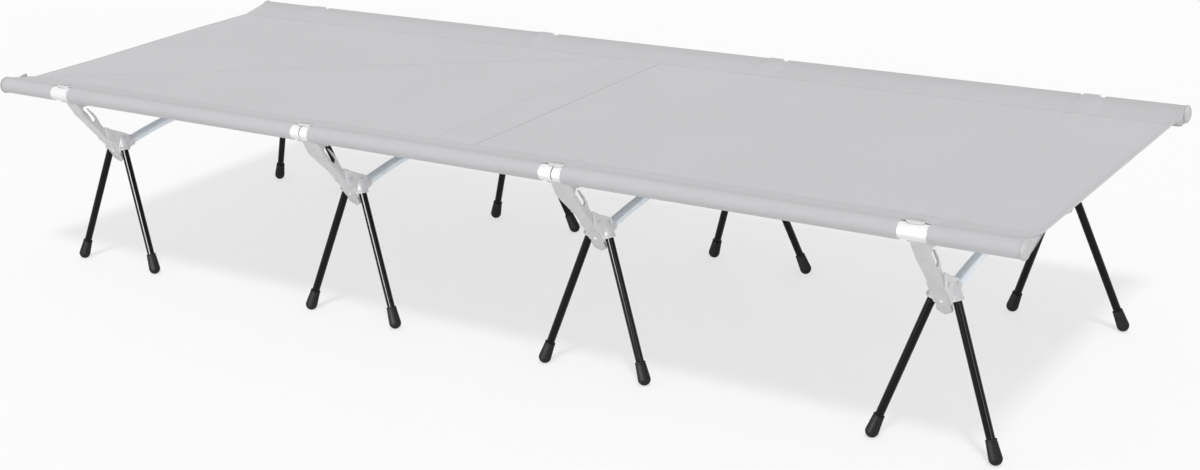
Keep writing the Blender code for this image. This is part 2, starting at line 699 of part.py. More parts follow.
def make_fabric_mesh():
    """Model the bed fabric with its two rail sleeves and their windows."""
    half = FABRIC_THICKNESS / 2

    def sleeve_angle(radius, height):
        """Give where a line from the seam touches the round part of the sleeve."""
        distance = math.hypot(SEAM_INSET, height)
        return math.degrees(math.acos(radius / distance) + math.atan2(height, SEAM_INSET))

    def teardrop(radius, height):
        """Give the sleeve's section from the seam over the rail and back below it."""
        touch = sleeve_angle(radius, height)
        round_part = arc(Vector((0, 0)), radius, touch, 360.0 - touch, ROUND_STEP)
        return [Vector((SEAM_INSET, height)), *round_part, Vector((SEAM_INSET, -height))]

    near = [Vector((point.x - RAIL_OFFSET, point.y)) for point in teardrop(SLEEVE_OUTER, half)]
    far = [Vector((-point.x, point.y)) for point in reversed(near)]
    sheet = extruded("bed_fabric", [*near, *far], BED_LENGTH / 2)
    cutters = []
    for side in (-1, 1):
        pocket = [Vector((side * (point.x - RAIL_OFFSET), point.y))
                  for point in teardrop(SLEEVE_INNER, half * 0.1)]
        cutters.append(extruded("pocket", pocket, BED_LENGTH / 2 + CUT_MARGIN))
        outer = side * (-RAIL_OFFSET - 0.030)
        for station in STATIONS:
            reach = WINDOW_LENGTH / 2
            middle = station
            if abs(station) == min(abs(place) for place in STATIONS):
                reach = INNER_WINDOW_LENGTH / 2
                middle = station - side * INNER_WINDOW_SHIFT
            for inset, low, high in ((WINDOW_TOP_INSET, -0.0010, 0.030),
                                     (WINDOW_UNDER_INSET, -0.030, 0.0010)):
                inner = side * (-RAIL_OFFSET + inset)
                cutters.append(box(
                    (middle - reach, min(outer, inner), low),
                    (middle + reach, max(outer, inner), high)))
    return boolean(sheet, "DIFFERENCE", cutters)


def build():
    """Model every piece and place it in the set-up cot."""
    clear_scene()
    cloth = make_material("bed_cloth", (0.56, 0.56, 0.57), 0.85, 0.0)
    alloy = make_material("rail_alloy", (0.80, 0.81, 0.83), 0.30, 0.9)
    anodised = make_material("crossbar_alloy", (0.52, 0.57, 0.64), 0.28, 0.9)
    moulding = make_material("hub_moulding", (0.52, 0.52, 0.53), 0.45, 0.0)
    lever = make_material("lever_moulding", (0.54, 0.54, 0.55), 0.42, 0.0)
    black = make_material("leg_coating", (0.012, 0.012, 0.013), 0.22, 0.1)
    rubber = make_material("foot_rubber", (0.035, 0.035, 0.037), 0.70, 0.0)

    arm_mesh = make_arm_mesh()
    hub_mesh = make_hub_mesh()
    leg_mesh = make_leg_mesh()
    foot_mesh = make_foot_mesh()
    bar_mesh = make_crossbar_mesh()
    middle_mesh = make_middle_rail_mesh()
    end_mesh = make_end_rail_mesh()

    level = Matrix.Translation((0, 0, RAIL_HEIGHT))
    add_object("bed_fabric", make_fabric_mesh(), cloth, level)
    for number, station in enumerate(STATIONS, start=1):
        add_object(f"crossbar_{number}", bar_mesh, anodised, Matrix.Translation((station, 0, 0)))
    for side_name, far in (("near", False), ("far", True)):
        turn = Matrix.Rotation(math.pi if far else 0.0, 4, "Z")
        rail = Matrix.Translation((0, RAIL_OFFSET if far else -RAIL_OFFSET, RAIL_HEIGHT))
        flip = Matrix.Rotation(math.pi, 4, "Z")
        add_object(f"{side_name}_rail_middle", middle_mesh, alloy, rail)
        add_object(f"{side_name}_rail_left", end_mesh, alloy, rail @ flip)
        add_object(f"{side_name}_rail_right", end_mesh, alloy, rail)
        for number, station in enumerate(STATIONS, start=1):
            seat = side_matrix(station, far)
            add_object(f"{side_name}_hub_{number}", hub_mesh, moulding, seat)
            add_object(f"{side_name}_arm_{number}", arm_mesh, lever, seat)
            for end_name, end in (("a", -1), ("b", 1)):
                side = -end if far else end
                leg = seat @ leg_matrix(side, foot_point(side))
                add_object(f"{side_name}_leg_{number}{end_name}", leg_mesh, black, leg)
                add_object(f"{side_name}_foot_{number}{end_name}", foot_mesh, rubber, leg)


build()
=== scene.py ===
"""Dressed camping cot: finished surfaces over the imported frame, with light, floor and camera."""
import math

import bmesh
import bpy
from mathutils import Matrix, Vector, noise


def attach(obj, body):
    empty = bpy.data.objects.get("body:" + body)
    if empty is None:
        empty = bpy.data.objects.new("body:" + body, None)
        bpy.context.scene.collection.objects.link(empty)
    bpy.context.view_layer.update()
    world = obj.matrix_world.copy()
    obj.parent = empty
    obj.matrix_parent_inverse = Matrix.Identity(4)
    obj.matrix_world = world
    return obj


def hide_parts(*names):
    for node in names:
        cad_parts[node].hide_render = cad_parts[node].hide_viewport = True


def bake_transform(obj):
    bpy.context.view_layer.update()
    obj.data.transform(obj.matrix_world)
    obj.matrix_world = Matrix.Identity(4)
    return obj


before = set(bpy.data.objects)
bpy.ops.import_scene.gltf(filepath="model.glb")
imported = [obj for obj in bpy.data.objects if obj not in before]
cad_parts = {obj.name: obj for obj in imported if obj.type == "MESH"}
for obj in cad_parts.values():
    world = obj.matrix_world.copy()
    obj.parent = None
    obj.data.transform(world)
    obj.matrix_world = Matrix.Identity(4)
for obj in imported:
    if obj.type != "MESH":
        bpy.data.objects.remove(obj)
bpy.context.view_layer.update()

# Sizes of the model, in metres, as the solids have them
CLEARANCE = 0.0003
RAIL_SPACING = 0.680
RAIL_HEIGHT = 0.3445
BED_LENGTH = 1.900
INNER_STATION = 0.2425
OUTER_STATION = 0.803
# Rails, plugs and sleeve
RAIL_RADIUS = 0.0120
RAIL_WALL = 0.0015
RAIL_OVERHANG = 0.0005
SPIGOT_LENGTH = 0.050
SPIGOT_WALL = 0.0016
PLUG_FLANGE_RADIUS = 0.0146
PLUG_FLANGE_THICKNESS = 0.0020
PLUG_DOME_HEIGHT = 0.0048
SEAM_INSET = 0.0650
WINDOW_LENGTH = 0.042
# Lever arm
PIVOT_INSET = 0.083
PIVOT_DROP = 0.0995
ARM_WIDTH = 0.0220
SHOULDER_WIDTH = 0.0240
TAPER_END = 0.0240
HEAD_WIDTH = 0.0260
HEAD_DEPTH = 0.036
ARM_PLATE = 0.0040
ARM_FLANGE = 0.0030
ARM_FACE_OFFSET = 0.0081
CHANNEL_BOTTOM = 0.0140         # up the arm from its pivot
CHANNEL_TOP = 0.0270            # down the arm from the rail's axis
CHANNEL_SLOPE = 0.0500          # the same way, to where the channel's floor starts to slope
CHANNEL_RAMP = 0.0046
CHANNEL_REACH = 0.0300          # past the arm's open side
KNUCKLE_RADIUS = 0.0060
PIN_RADIUS = 0.0025
PIN_HEAD_RADIUS = 0.0042
PIN_HEAD_THICKNESS = 0.0013
HOOK_ROOT_THICKNESS = 0.0043
HOOK_TIP_THICKNESS = 0.0018
HOOK_LIP_THICKNESS = 0.0030
HOOK_TOP_ANGLE = 110.0
HOOK_ROOT_ANGLE = -20.0
HOOK_BOTTOM_ANGLE = -85.0
KEYHOLE_BELOW_RAIL = 0.048
KEYHOLE_OFFSET = 0.0028
KEYHOLE_RADIUS = 0.0060
KEYHOLE_NECK_LENGTH = 0.0330
KEYHOLE_NECK_WIDTH = 0.0083
KEYHOLE_NECK_LEAN = 4.0
KEYHOLE_START = 45.0            # degrees round it, where the knob's side meets it
KEYHOLE_FINGER_TURN = 12.0
KNOB_SIZE = 0.0052
TAIL_LENGTH = 0.0422
TAIL_THICKNESS = 0.0032
TAIL_LEAN = 28.6
TAIL_FACE_OFFSET = 0.0049
TAIL_POINT = 0.0062
# Hub
CHEEK_THICKNESS = 0.0031
CHEEK_GAP = 0.0004
FORK_DEPTH = 0.0073
HUB_DEPTH = 0.0390
HUB_BOTTOM = 0.0360
LIP_DEPTH = 0.0530
LIP_THICKNESS = 0.0034
LIP_START = 0.0200              # down the tail from the pivot
SOCKET_DEPTH = 0.0225
SOCKET_CAP = 0.0026
SOCKET_TOP_WALL = 0.0020
SOCKET_MOUTH_WALL = 0.0030
SOCKET_RIM_WALL = 0.0039
SOCKET_RIM_HEIGHT = 0.0030
MOUTH_SPREAD = 0.0179
MOUTH_INSET = 0.0215
MOUTH_DROP = 0.0297
COLLAR_REACH = 0.0560
COLLAR_DEPTH = 0.0230
COLLAR_WALL = 0.0021
COLLAR_ROOT = 0.0320
# Legs, feet and crossbar
LEG_RADIUS = 0.0063
LEG_WALL = 0.0010
FOOT_SPREAD = 0.0915
FOOT_INSET = 0.0733
FOOT_RADIUS = 0.0099
FOOT_COLLAR_RADIUS = 0.0083
FOOT_COLLAR_LENGTH = 0.0050
FOOT_HEIGHT = 0.0271
FOOT_FLOOR = 0.0040
BAR_RADIUS = 0.0082
BAR_WALL = 0.0012
BAR_END_LEAN = 11.1
BAR_DROP = 0.0206

# Corners of the arm's outline: place along the arm, inboard of its middle line, radius
NECK_DROP = 0.0230              # one corner between hook and knob, down from the rail's axis
NECK_INSET = 0.0075
NECK_ROUND = 0.0040
FACE_LINE = (                   # outer face, down from the rail's axis
    (0.0530, -ARM_FACE_OFFSET, 0.020), (0.0253, -0.0026, 0.006),
)
KNOB_RISE = 0.0040              # of the knob's middle, over the keyhole's
KNOB_LINE = (                   # up from the knob's middle
    (KNOB_SIZE, -0.0010, 0.002), (KNOB_SIZE * 0.3, KNOB_SIZE * 0.75, 0.002),
    (-KNOB_SIZE * 0.6, KNOB_SIZE * 0.2, 0.0015),
)
FINGER_LINE = (                 # down from the keyhole's middle
    (0.0075, 0.0080, 0.0012), (0.0220, 0.0090, 0.008), (0.0330, 0.0079, 0.008),
)
STEM_LINE = ((0.0370, 0.0045, 0.006), (0.0270, 0.0032, 0.006))     # up from the pivot
TAIL_ROOT_ROUND = 0.0080
HUB_LINE = (                    # the hub's front and top: inboard of the pivot, up, radius
    (-0.0140, 0.0235, 0.002), (0.0040, 0.0130, 0.010), (0.0210, 0.0050, 0.010),
    (0.0350, -0.0015, 0.004), (HUB_DEPTH, -0.0070, 0.004),
    (HUB_DEPTH, -HUB_BOTTOM + 0.0090, 0.006), (HUB_DEPTH - 0.0110, -HUB_BOTTOM, 0.004),
)

# Finer forms of the hard pieces
TAIL_RIVET_DROP = 0.0153        # down the tail from its root
TAIL_RIVET_SHIFT = -0.0010
TAIL_RIVET_RADIUS = 0.0023
TAIL_RIVET_RISE = 0.0013
WIDE_FLANK = (                  # the inner arms' broader flank: half width, height over the pivot
    (0.0145, 0.0940), (0.0205, 0.0840), (0.0225, 0.0560), (0.0112, 0.0160),
)
UNCUT_HALF_WIDTH = 0.030        # of an inner arm, before its flanks are cut
SHOULDER_STEP = 0.0002
HOOK_TIP_ROUND = 0.0075
HOOK_TIP_SQUASH = 0.6           # depth of the tip's round over its width
JOINT_GAP = 0.0021              # seen between two rail sections
JOINT_SHIFT = 0.0030            # toward -X on the near side
RAIL_CHAMFER = 0.0005           # at the joints between the rail sections
PLUG_EDGE = 0.0006
PLUG_STEM = 0.0120
LEG_EDGE = 0.0004
FOOT_RIM = 0.0006
FOOT_GROOVE = 0.0004
ARM_MOULD = (0.00055, 5, 0.22)  # voxel, rounds of smoothing, share of the faces kept
HUB_MOULD = (0.00070, 9, 0.25)
CUT_MARGIN = 0.0040             # that a cutter stands out of the material
TUBE_SIDES = 40
ARC_STEP = 9.0
BAR_STEPS = 40
SHARP_ANGLE = math.radians(40.0)

# Finer forms of the bed fabric
CLOTH_THICKNESS = 0.0008
SEAM_GAP = 1.05 * CLOTH_THICKNESS
WINDOW_TOP_EDGE = 0.0050        # upper layer's cut edge, inboard of the rail axis
WINDOW_UNDER_EDGE = 0.0200
WINDOW_ENDS = {                 # the windows at the inner stations, from the station along X
    -INNER_STATION: (-0.0215, 0.0147),
    INNER_STATION: (-0.0255, 0.0135),
}
HOOK_REACH = 0.0161             # rail axis to the cloth where it passes over a hook
HOOK_DRAPE = 0.0006             # width over which the cloth comes down beside a hook
HOOK_DRAPE_SPREAD = 0.0150      # more inboard
HOOK_DRAPE_REACH = 0.0220
HEM_WIDTH = 0.0060
BAND_MIDDLE = 0.0050            # sewn band across the bed
BAND_HALF = 0.0400
END_SAG = 0.0045                # the sleeve's lower layer hangs this much at the bed's ends
END_SAG_REACH = 0.0600
END_SAG_START = 0.0040          # inboard of the rail axis
END_FLAP_INSET = 0.0006         # the flap that closes the sleeve beside the rail's plug
END_FLAP_BULGE = 0.0034
END_FLAP_STEPS = 28
END_FLAP_THICKNESS = 0.6 * CLOTH_THICKNESS
TAB_INSET = 0.0265              # the tape tab at the near left corner, from the rail axis
TAB_RISE = 0.0082
TAB_THICKNESS = 0.0014
TAB_LINE = (                    # its side: inboard, up
    (0.0, -0.0010), (0.0040, 0.0013), (0.0100, 0.0026), (0.0168, 0.0030), (0.0172, -0.0030),
    (0.0090, -0.0040),
)
CREASE_START = Vector((-0.866, -0.234))     # the faint diagonal crease of the bed
CREASE_END = Vector((-0.094, 0.248))
CREASE_RISE = 0.0006
CREASE_WIDTH = 0.0060
SEAM_DIP = 0.0006
SEAM_DIP_WIDTH = 0.0016
LAYER_RISE = 0.0005             # of the hems and of the band
LAYER_EDGE = 0.0010
BAND_FADE = 0.0030              # these four run from the seam inboard
CREASE_FADE = 0.0600
SLACK_FADE = 0.1200
PULL_FADE = 0.1000
SLACK_RISE = 0.0012             # slow waves of the bed
SLACK_WAVES = 3.1               # in a metre, along the bed
SLACK_RIPPLES = 4.3             # across it
SLACK_PHASE = 0.7
PULL_RISE = 0.0007              # small folds that run to an arm
PULL_START = 0.0200
PULL_WIDTH = 0.0600
PULL_PITCH = 0.0450
BED_COLUMN = 0.0100
BED_ROW = 0.0075
SEAM_MARKS = (0.0010, 0.0022, 0.0050)       # rows of the grid, from the seam
HEM_MARKS = (0.0010, 0.0040, HEM_WIDTH - 0.0012, HEM_WIDTH, HEM_WIDTH + 0.0012)
BAND_MARKS = (-0.0012, 0.0, 0.0012)         # columns of the grid, from the band's edges
ARM_MARKS = (0.0, 0.0040, 0.0085, 0.0115, 0.0128, 0.0134)
WINDOW_MARKS = (0.0, 0.0015, 0.0040, 0.0080, 0.0140)
UNDER_SHARES = (0, 0.04, 0.12, 0.25, 0.4, 0.55)     # of the runs between seam and rail
UPPER_SHARES = (0.10, 0.16, 0.22, 0.30, 0.40, 0.52, 0.64, 0.76, 0.86, 0.93, 0.97, 0.985, 1.0)
STITCH_LENGTH = 0.0026
STITCH_PITCH = 0.0038
STITCH_WIDTH = 0.0005
STITCH_SINK = 0.00005
SEAM_STITCH = 0.0032            # the row along the seam, inboard of it
SEAM_STITCH_END = 0.0060
CROSS_STITCH_START = 0.0030     # the rows across the bed, inboard of the seam
HEM_STITCH = 0.0022
BAND_STITCH = 0.0025

# Colour and grain
YARN_PITCH = 0.0011
WEAVE_RELIEF = (0.18, 0.0002)   # strength, depth
SLUB_NOISE = (900.0, 2.0)       # scale, detail
BROAD_NOISE = (5.0, 4.0)
FINE_NOISE = (240.0, 2.0)
SEAM_LINE_WIDTH = 0.0009
SEAM_LINES = (                  # shaded lines across the bed: place along X, weight
    (BAND_MIDDLE + BAND_HALF, 1.0), (BAND_MIDDLE - BAND_HALF, 0.35),
    (BED_LENGTH / 2 - HEM_WIDTH, 0.35), (HEM_WIDTH - BED_LENGTH / 2, 0.35),
)
SEAM_LINE_SHADE = 0.42
SEAM_WEIGHT = 0.30
FAR_SEAM_WEIGHT = 0.85          # more painted shade on the far seam
CREASE_WEIGHT = 0.34
CLOTH_DARK = (0.560, 0.560, 0.572)
CLOTH_LIGHT = (0.584, 0.584, 0.598)
# painted shade along the seams, hems, band and crease, where folds and grooves would shade the
# cloth
PAINTED_SHADE_COLOUR = (0.16, 0.16, 0.165, 1.0)
ROUND_PAINTED_SHADE = (0.925, 0.925, 0.925, 1.0)     # painted shade where the sleeve turns over the rail
ROUND_SHADE_START = 0.034             # of the painted shade, from the seam, round the sleeve
ROUND_SHADE_END = 0.060
FAR_SLEEVE_PAINTED_SHADE = (0.935, 0.935, 0.935, 1.0)       # painted shade on the far sleeve
WHITE = (1.0, 1.0, 1.0, 1.0)
EVEN = (1.0, 1.0, 1.0)
ALONG_X = (0.02, 1.0, 1.0)
ALONG_Y = (1.0, 0.02, 1.0)
ALONG_Z = (1.0, 1.0, 0.02)
SURFACES = {    # tone: scale, detail, roughness and range; grain: the same, strength and depth
    "thread": ((2500.0, 1.0, 0.5), (0.30, 0.70), (2500.0, 1.0, 0.5), (0.30, 0.00010)),
    "plastic": ((45.0, 3.0, 0.5), (0.35, 0.65), (2200.0, 2.0, 0.5), (0.15, 0.00012)),
    "metal": ((18.0, 2.0, 0.5), (0.30, 0.70), (900.0, 3.0, 0.6), (0.08, 0.00008)),
    "rubber": ((160.0, 4.0, 0.6), (0.35, 0.75), (1600.0, 2.0, 0.5), (0.25, 0.00020)),
}
FINISHES = {    # surface, darker and lighter tone, roughness, metal, gloss, run of the grain
    "sewing_thread": ("thread", (0.40, 0.40, 0.41), (0.50, 0.50, 0.51), 0.60, 0.0, 0.50, EVEN),
    # the hub's tone is painted lighter than the arm's plastic: painted light against the shade
    # under the bed
    "hub_plastic_painted_light": ("plastic", (0.70, 0.70, 0.71), (0.74, 0.74, 0.75), 0.40, 0.0, 0.32, EVEN),
    "arm_plastic": ("plastic", (0.615, 0.615, 0.625), (0.655, 0.655, 0.665), 0.40, 0.0, 0.32,
                    EVEN),
    "plug_plastic": ("plastic", (0.49, 0.49, 0.50), (0.53, 0.53, 0.54), 0.50, 0.0, 0.32, EVEN),
    "rail_metal": ("metal", (0.80, 0.80, 0.81), (0.86, 0.86, 0.87), 0.50, 0.10, 0.25, ALONG_X),
    "crossbar_metal": ("metal", (0.78, 0.84, 0.90), (0.84, 0.90, 0.95), 0.28, 0.44, 0.50,
                       ALONG_Y),
    "spigot_metal": ("metal", (0.05, 0.05, 0.055), (0.07, 0.07, 0.075), 0.55, 0.20, 0.50,
                     ALONG_X),
    "pin_metal": ("metal", (0.64, 0.64, 0.65), (0.70, 0.70, 0.71), 0.40, 0.15, 0.32, EVEN),
    "rivet_metal": ("metal", (0.80, 0.80, 0.81), (0.86, 0.86, 0.87), 0.38, 0.15, 0.50, EVEN),
    "leg_coating": ("metal", (0.0015, 0.0015, 0.0015), (0.0025, 0.0025, 0.0025), 0.16, 0.0,
                    0.18, ALONG_Z),
    "foot_rubber": ("rubber", (0.010, 0.010, 0.011), (0.018, 0.018, 0.019), 0.55, 0.0, 0.14,
                    EVEN),
}

# Light and floor
SURROUND_STRENGTH = 0.545
LAMPS = (                       # direction, strength, degrees across
    (Vector((-0.30, 0.45, -1.00)), 1.42, 9.0),
    (Vector((-0.85, 0.50, -0.20)), 0.55, 16.0),
)
GLOSS_PLACE = Vector((-0.28, -2.70, 0.74))  # a lamp that is seen in reflections only
GLOSS_AIM = Vector((-0.20, -0.25, 0.12))
GLOSS_WIDTH = 1.35
GLOSS_HEIGHT = 0.92
GLOSS_POWER = 210.0
FLOOR_SIZE = 12.0
FLOOR_COLOUR = (0.95, 0.95, 0.95, 1.0)
FLOOR_WHITE = 0.63              # share of plain white that the camera sees in the floor

# Camera, as the photograph was taken
CAMERA_PLACE = Vector((1.71396, -2.42226, 1.15025))
CAMERA_TURN = Vector((1.86167, 0.52501, -0.42635))
CAMERA_LENS = 55.276
CAMERA_SENSOR = 36.0
CAMERA_NEAR = 0.05

RAIL_OFFSET = RAIL_SPACING / 2
STATIONS = (-OUTER_STATION, -INNER_STATION, INNER_STATION, OUTER_STATION)
PIVOT_Y = RAIL_OFFSET - PIVOT_INSET
PIVOT_Z = RAIL_HEIGHT - PIVOT_DROP
HOOK_INNER = RAIL_RADIUS + CLEARANCE
RAIL_POINT = Vector((-PIVOT_INSET, PIVOT_DROP))
ARM_LENGTH = RAIL_POINT.length
ARM_DIRECTION = RAIL_POINT.normalized()
ARM_NORMAL = Vector((ARM_DIRECTION.y, -ARM_DIRECTION.x))
TAIL_DIRECTION = Vector((math.sin(math.radians(TAIL_LEAN)), -math.cos(math.radians(TAIL_LEAN))))
TAIL_NORMAL = Vector((-TAIL_DIRECTION.y, TAIL_DIRECTION.x))
TAIL_ROOT = -(ARM_NORMAL.dot(TAIL_NORMAL * -TAIL_FACE_OFFSET) + ARM_FACE_OFFSET) / (
    ARM_NORMAL.dot(TAIL_DIRECTION))         # down the tail to where it meets the arm's face
TAIL_END = TAIL_ROOT + TAIL_LENGTH
HUB_HALF_WIDTH = ARM_WIDTH / 2 + CHEEK_GAP + CHEEK_THICKNESS
BORE_RADIUS = LEG_RADIUS + CLEARANCE
COLLAR_BORE = BAR_RADIUS + CLEARANCE
CLOTH_ROUND = RAIL_RADIUS + CLEARANCE + CLOTH_THICKNESS / 2
CLOTH_TOUCH = math.degrees(math.acos(CLOTH_ROUND / SEAM_INSET))
BED_HALF = BED_LENGTH / 2
RAIL_END = BED_HALF + RAIL_OVERHANG
RAIL_BORE = RAIL_RADIUS - RAIL_WALL
QUARTER = math.pi / 2


# Mesh tools

def polar(radius, degrees):
    """Give the plane point at a radius and an angle."""
    angle = math.radians(degrees)
    return Vector((radius * math.cos(angle), radius * math.sin(angle)))


def shares(steps):
    """Give even shares from 0 to 1, with both ends."""
    return [step / steps for step in range(steps + 1)]


def arc(centre, radius, start, end, facet=ARC_STEP):
    """Give points along an arc, with both ends, in degrees."""
    steps = max(2, math.ceil(abs(end - start) / facet))
    return [centre + polar(radius, start + (end - start) * k / steps) for k in range(steps + 1)]


def rounded(corners):
    """Give an outline whose corners, each a point and a radius, are rounded."""
    points = []
    count = len(corners)
    for index, (corner, radius) in enumerate(corners):
        if radius <= 0:
            points.append(corner)
            continue
        before = corners[index - 1][0] - corner
        after = corners[(index + 1) % count][0] - corner
        half = before.angle(after) / 2
        reach = min(radius / math.tan(half), 0.45 * before.length, 0.45 * after.length)
        start = corner + before.normalized() * reach
        end = corner + after.normalized() * reach
        steps = max(1, round(math.degrees(math.pi - 2 * half) / ARC_STEP))
        for share in shares(steps):
            points.append(start.lerp(corner, share).lerp(corner.lerp(end, share), share))
    return points


def add_object(name, data, matrix=None):
    """Put a mesh, a lamp or a camera in the scene."""
    obj = bpy.data.objects.new(name, data)
    if matrix is not None:
        obj.matrix_world = matrix
    bpy.context.scene.collection.objects.link(obj)
    return obj


def to_mesh(bm, name):
    """Turn a bmesh into a mesh."""
    mesh = bpy.data.meshes.new(name)
    bm.to_mesh(mesh)
    bm.free()
    return mesh


def closed_mesh(bm, name):
    """Turn a bmesh into a mesh with its points merged and its faces pointing out."""
    bmesh.ops.remove_doubles(bm, verts=bm.verts, dist=1e-6)
    bmesh.ops.recalc_face_normals(bm, faces=bm.faces)
    return to_mesh(bm, name)


def placed(mesh, matrix):
    """Move a mesh's points by a matrix."""
    mesh.transform(matrix)
    return mesh


def prism(name, corners, push):
    """Push a flat face out into a solid."""
    bm = bmesh.new()
    face = bm.faces.new([bm.verts.new(corner) for corner in corners])
    pushed = bmesh.ops.extrude_face_region(bm, geom=[face])
    moved = [item for item in pushed["geom"] if isinstance(item, bmesh.types.BMVert)]
    bmesh.ops.translate(bm, verts=moved, vec=push)
    return closed_mesh(bm, name)


def extruded(name, outline, half_width):
    """Push an outline in the YZ plane out to both sides along X."""
    corners = [(-half_width, point.x, point.y) for point in outline]
    return prism(name, corners, (2 * half_width, 0, 0))


def turned(name, profile, sides=TUBE_SIDES, closed=False):
    """Spin a profile of radius and height pairs round Z."""
    bm = bmesh.new()
    verts = [bm.verts.new((radius, 0, height)) for radius, height in profile]
    pairs = list(zip(verts, verts[1:]))
    if closed:
        pairs.append((verts[-1], verts[0]))
    edges = [bm.edges.new(pair) for pair in pairs]
    bmesh.ops.spin(bm, geom=verts + edges, cent=(0, 0, 0), axis=(0, 0, 1),
                   angle=2 * math.pi, steps=sides, use_merge=True)
    return closed_mesh(bm, name)


def turned_along_x(name, profile, sides=TUBE_SIDES, closed=False):
    """Spin a profile round X."""
    return placed(turned(name, profile, sides, closed), Matrix.Rotation(QUARTER, 4, "Y"))


def bridge(bm, first, second):
    """Join two rings of as many points with faces, and give the faces."""
    corners = zip(first, [*first[1:], first[0]], [*second[1:], second[0]], second)
    return [bm.faces.new(quad) for quad in corners]


def swept_tube(name, path, radius, wall):
    """Sweep a hollow round section along a path that lies in the YZ plane."""
    bm = bmesh.new()
    across = Vector((1, 0, 0))
    shells = ([], [])
    for index, point in enumerate(path):
        along = path[min(index + 1, len(path) - 1)] - path[max(index - 1, 0)]
        upward = along.normalized().cross(across)
        for shell, reach in zip(shells, (radius, radius - wall)):
            ring = []
            for side in range(TUBE_SIDES):
                turn = 2 * math.pi * side / TUBE_SIDES
                offset = across * math.cos(turn) + upward * math.sin(turn)
                ring.append(bm.verts.new(point + offset * reach))
            shell.append(ring)
    for shell in shells:
        for first, second in zip(shell, shell[1:]):
            bridge(bm, first, second)
    for end in (0, -1):
        bridge(bm, shells[0][end], shells[1][end])
    return closed_mesh(bm, name)


def baked(base, helpers=()):
    """Give an object's mesh after its modifiers, and remove it and its helpers."""
    result = bpy.data.meshes.new_from_object(
        base.evaluated_get(bpy.context.evaluated_depsgraph_get()))
    for obj in (base, *helpers):
        bpy.data.objects.remove(obj, do_unlink=True)
    return result


def boolean(mesh, operation, tools):
    """Give the union or difference of a mesh and others in turn."""
    base = add_object("base", mesh)
    helpers = [add_object("helper", tool) for tool in tools]
    for helper in helpers:
        modifier = base.modifiers.new("cut", "BOOLEAN")
        modifier.operation = operation
        modifier.solver = "EXACT"
        modifier.object = helper
    return baked(base, helpers)


def moulded(mesh, voxel, smoothing, keep):
    """Give a mesh the soft edges and fillets of a plastic moulding."""
    base = add_object("base", mesh)
    remesh = base.modifiers.new("remesh", "REMESH")
    remesh.mode = "VOXEL"
    remesh.voxel_size = voxel
    smooth = base.modifiers.new("smooth", "SMOOTH")
    smooth.factor = 0.5
    smooth.iterations = smoothing
    thin = base.modifiers.new("thin", "DECIMATE")
    thin.ratio = keep
    return baked(base)


# Lever arm, measured from its pivot

def arm_point(along, inward):
    """Give a point by its distance up the arm and inboard of its middle line."""
    return ARM_DIRECTION * along + ARM_NORMAL * inward


def tail_point(along, behind):
    """Give a point by its distance down the tail and behind its front face."""
    return TAIL_NORMAL * (behind - TAIL_FACE_OFFSET) + TAIL_DIRECTION * along


def hook_outline():
    """Give the hook's inner arc and outer arc, joined at its tip."""
    inner = arc(RAIL_POINT, HOOK_INNER, HOOK_BOTTOM_ANGLE, HOOK_TOP_ANGLE)
    steps = max(2, math.ceil((HOOK_TOP_ANGLE - HOOK_ROOT_ANGLE) / ARC_STEP))
    outer = []
    for share in shares(steps):
        thickness = HOOK_TIP_THICKNESS + (HOOK_ROOT_THICKNESS - HOOK_TIP_THICKNESS) * share ** 0.5
        angle = HOOK_TOP_ANGLE + (HOOK_ROOT_ANGLE - HOOK_TOP_ANGLE) * share
        outer.append(RAIL_POINT + polar(HOOK_INNER + thickness, angle))
    return inner + outer


def keyhole_outline():
    """Give the open keyhole between the knob and the finger."""
    centre = arm_point(ARM_LENGTH - KEYHOLE_BELOW_RAIL, KEYHOLE_OFFSET)
    neck = -ARM_DIRECTION
    neck.rotate(Matrix.Rotation(math.radians(-KEYHOLE_NECK_LEAN), 2))
    across = Vector((neck.y, -neck.x))
    half = KEYHOLE_NECK_WIDTH / 2
    lean = math.degrees(math.atan2(neck.y, neck.x))
    spread = math.degrees(math.asin(half / KEYHOLE_RADIUS))
    head = arc(centre, KEYHOLE_RADIUS, KEYHOLE_START, 360.0 + lean - spread)
    end = centre + neck * (KEYHOLE_NECK_LENGTH - half)
    turn = math.degrees(math.atan2(across.y, across.x))
    tip = arc(end, half, turn, turn + 180.0, 30.0)
    start = lean + spread
    finger = arc(centre, KEYHOLE_RADIUS, start, start + KEYHOLE_FINGER_TURN)
    return head + tip + finger


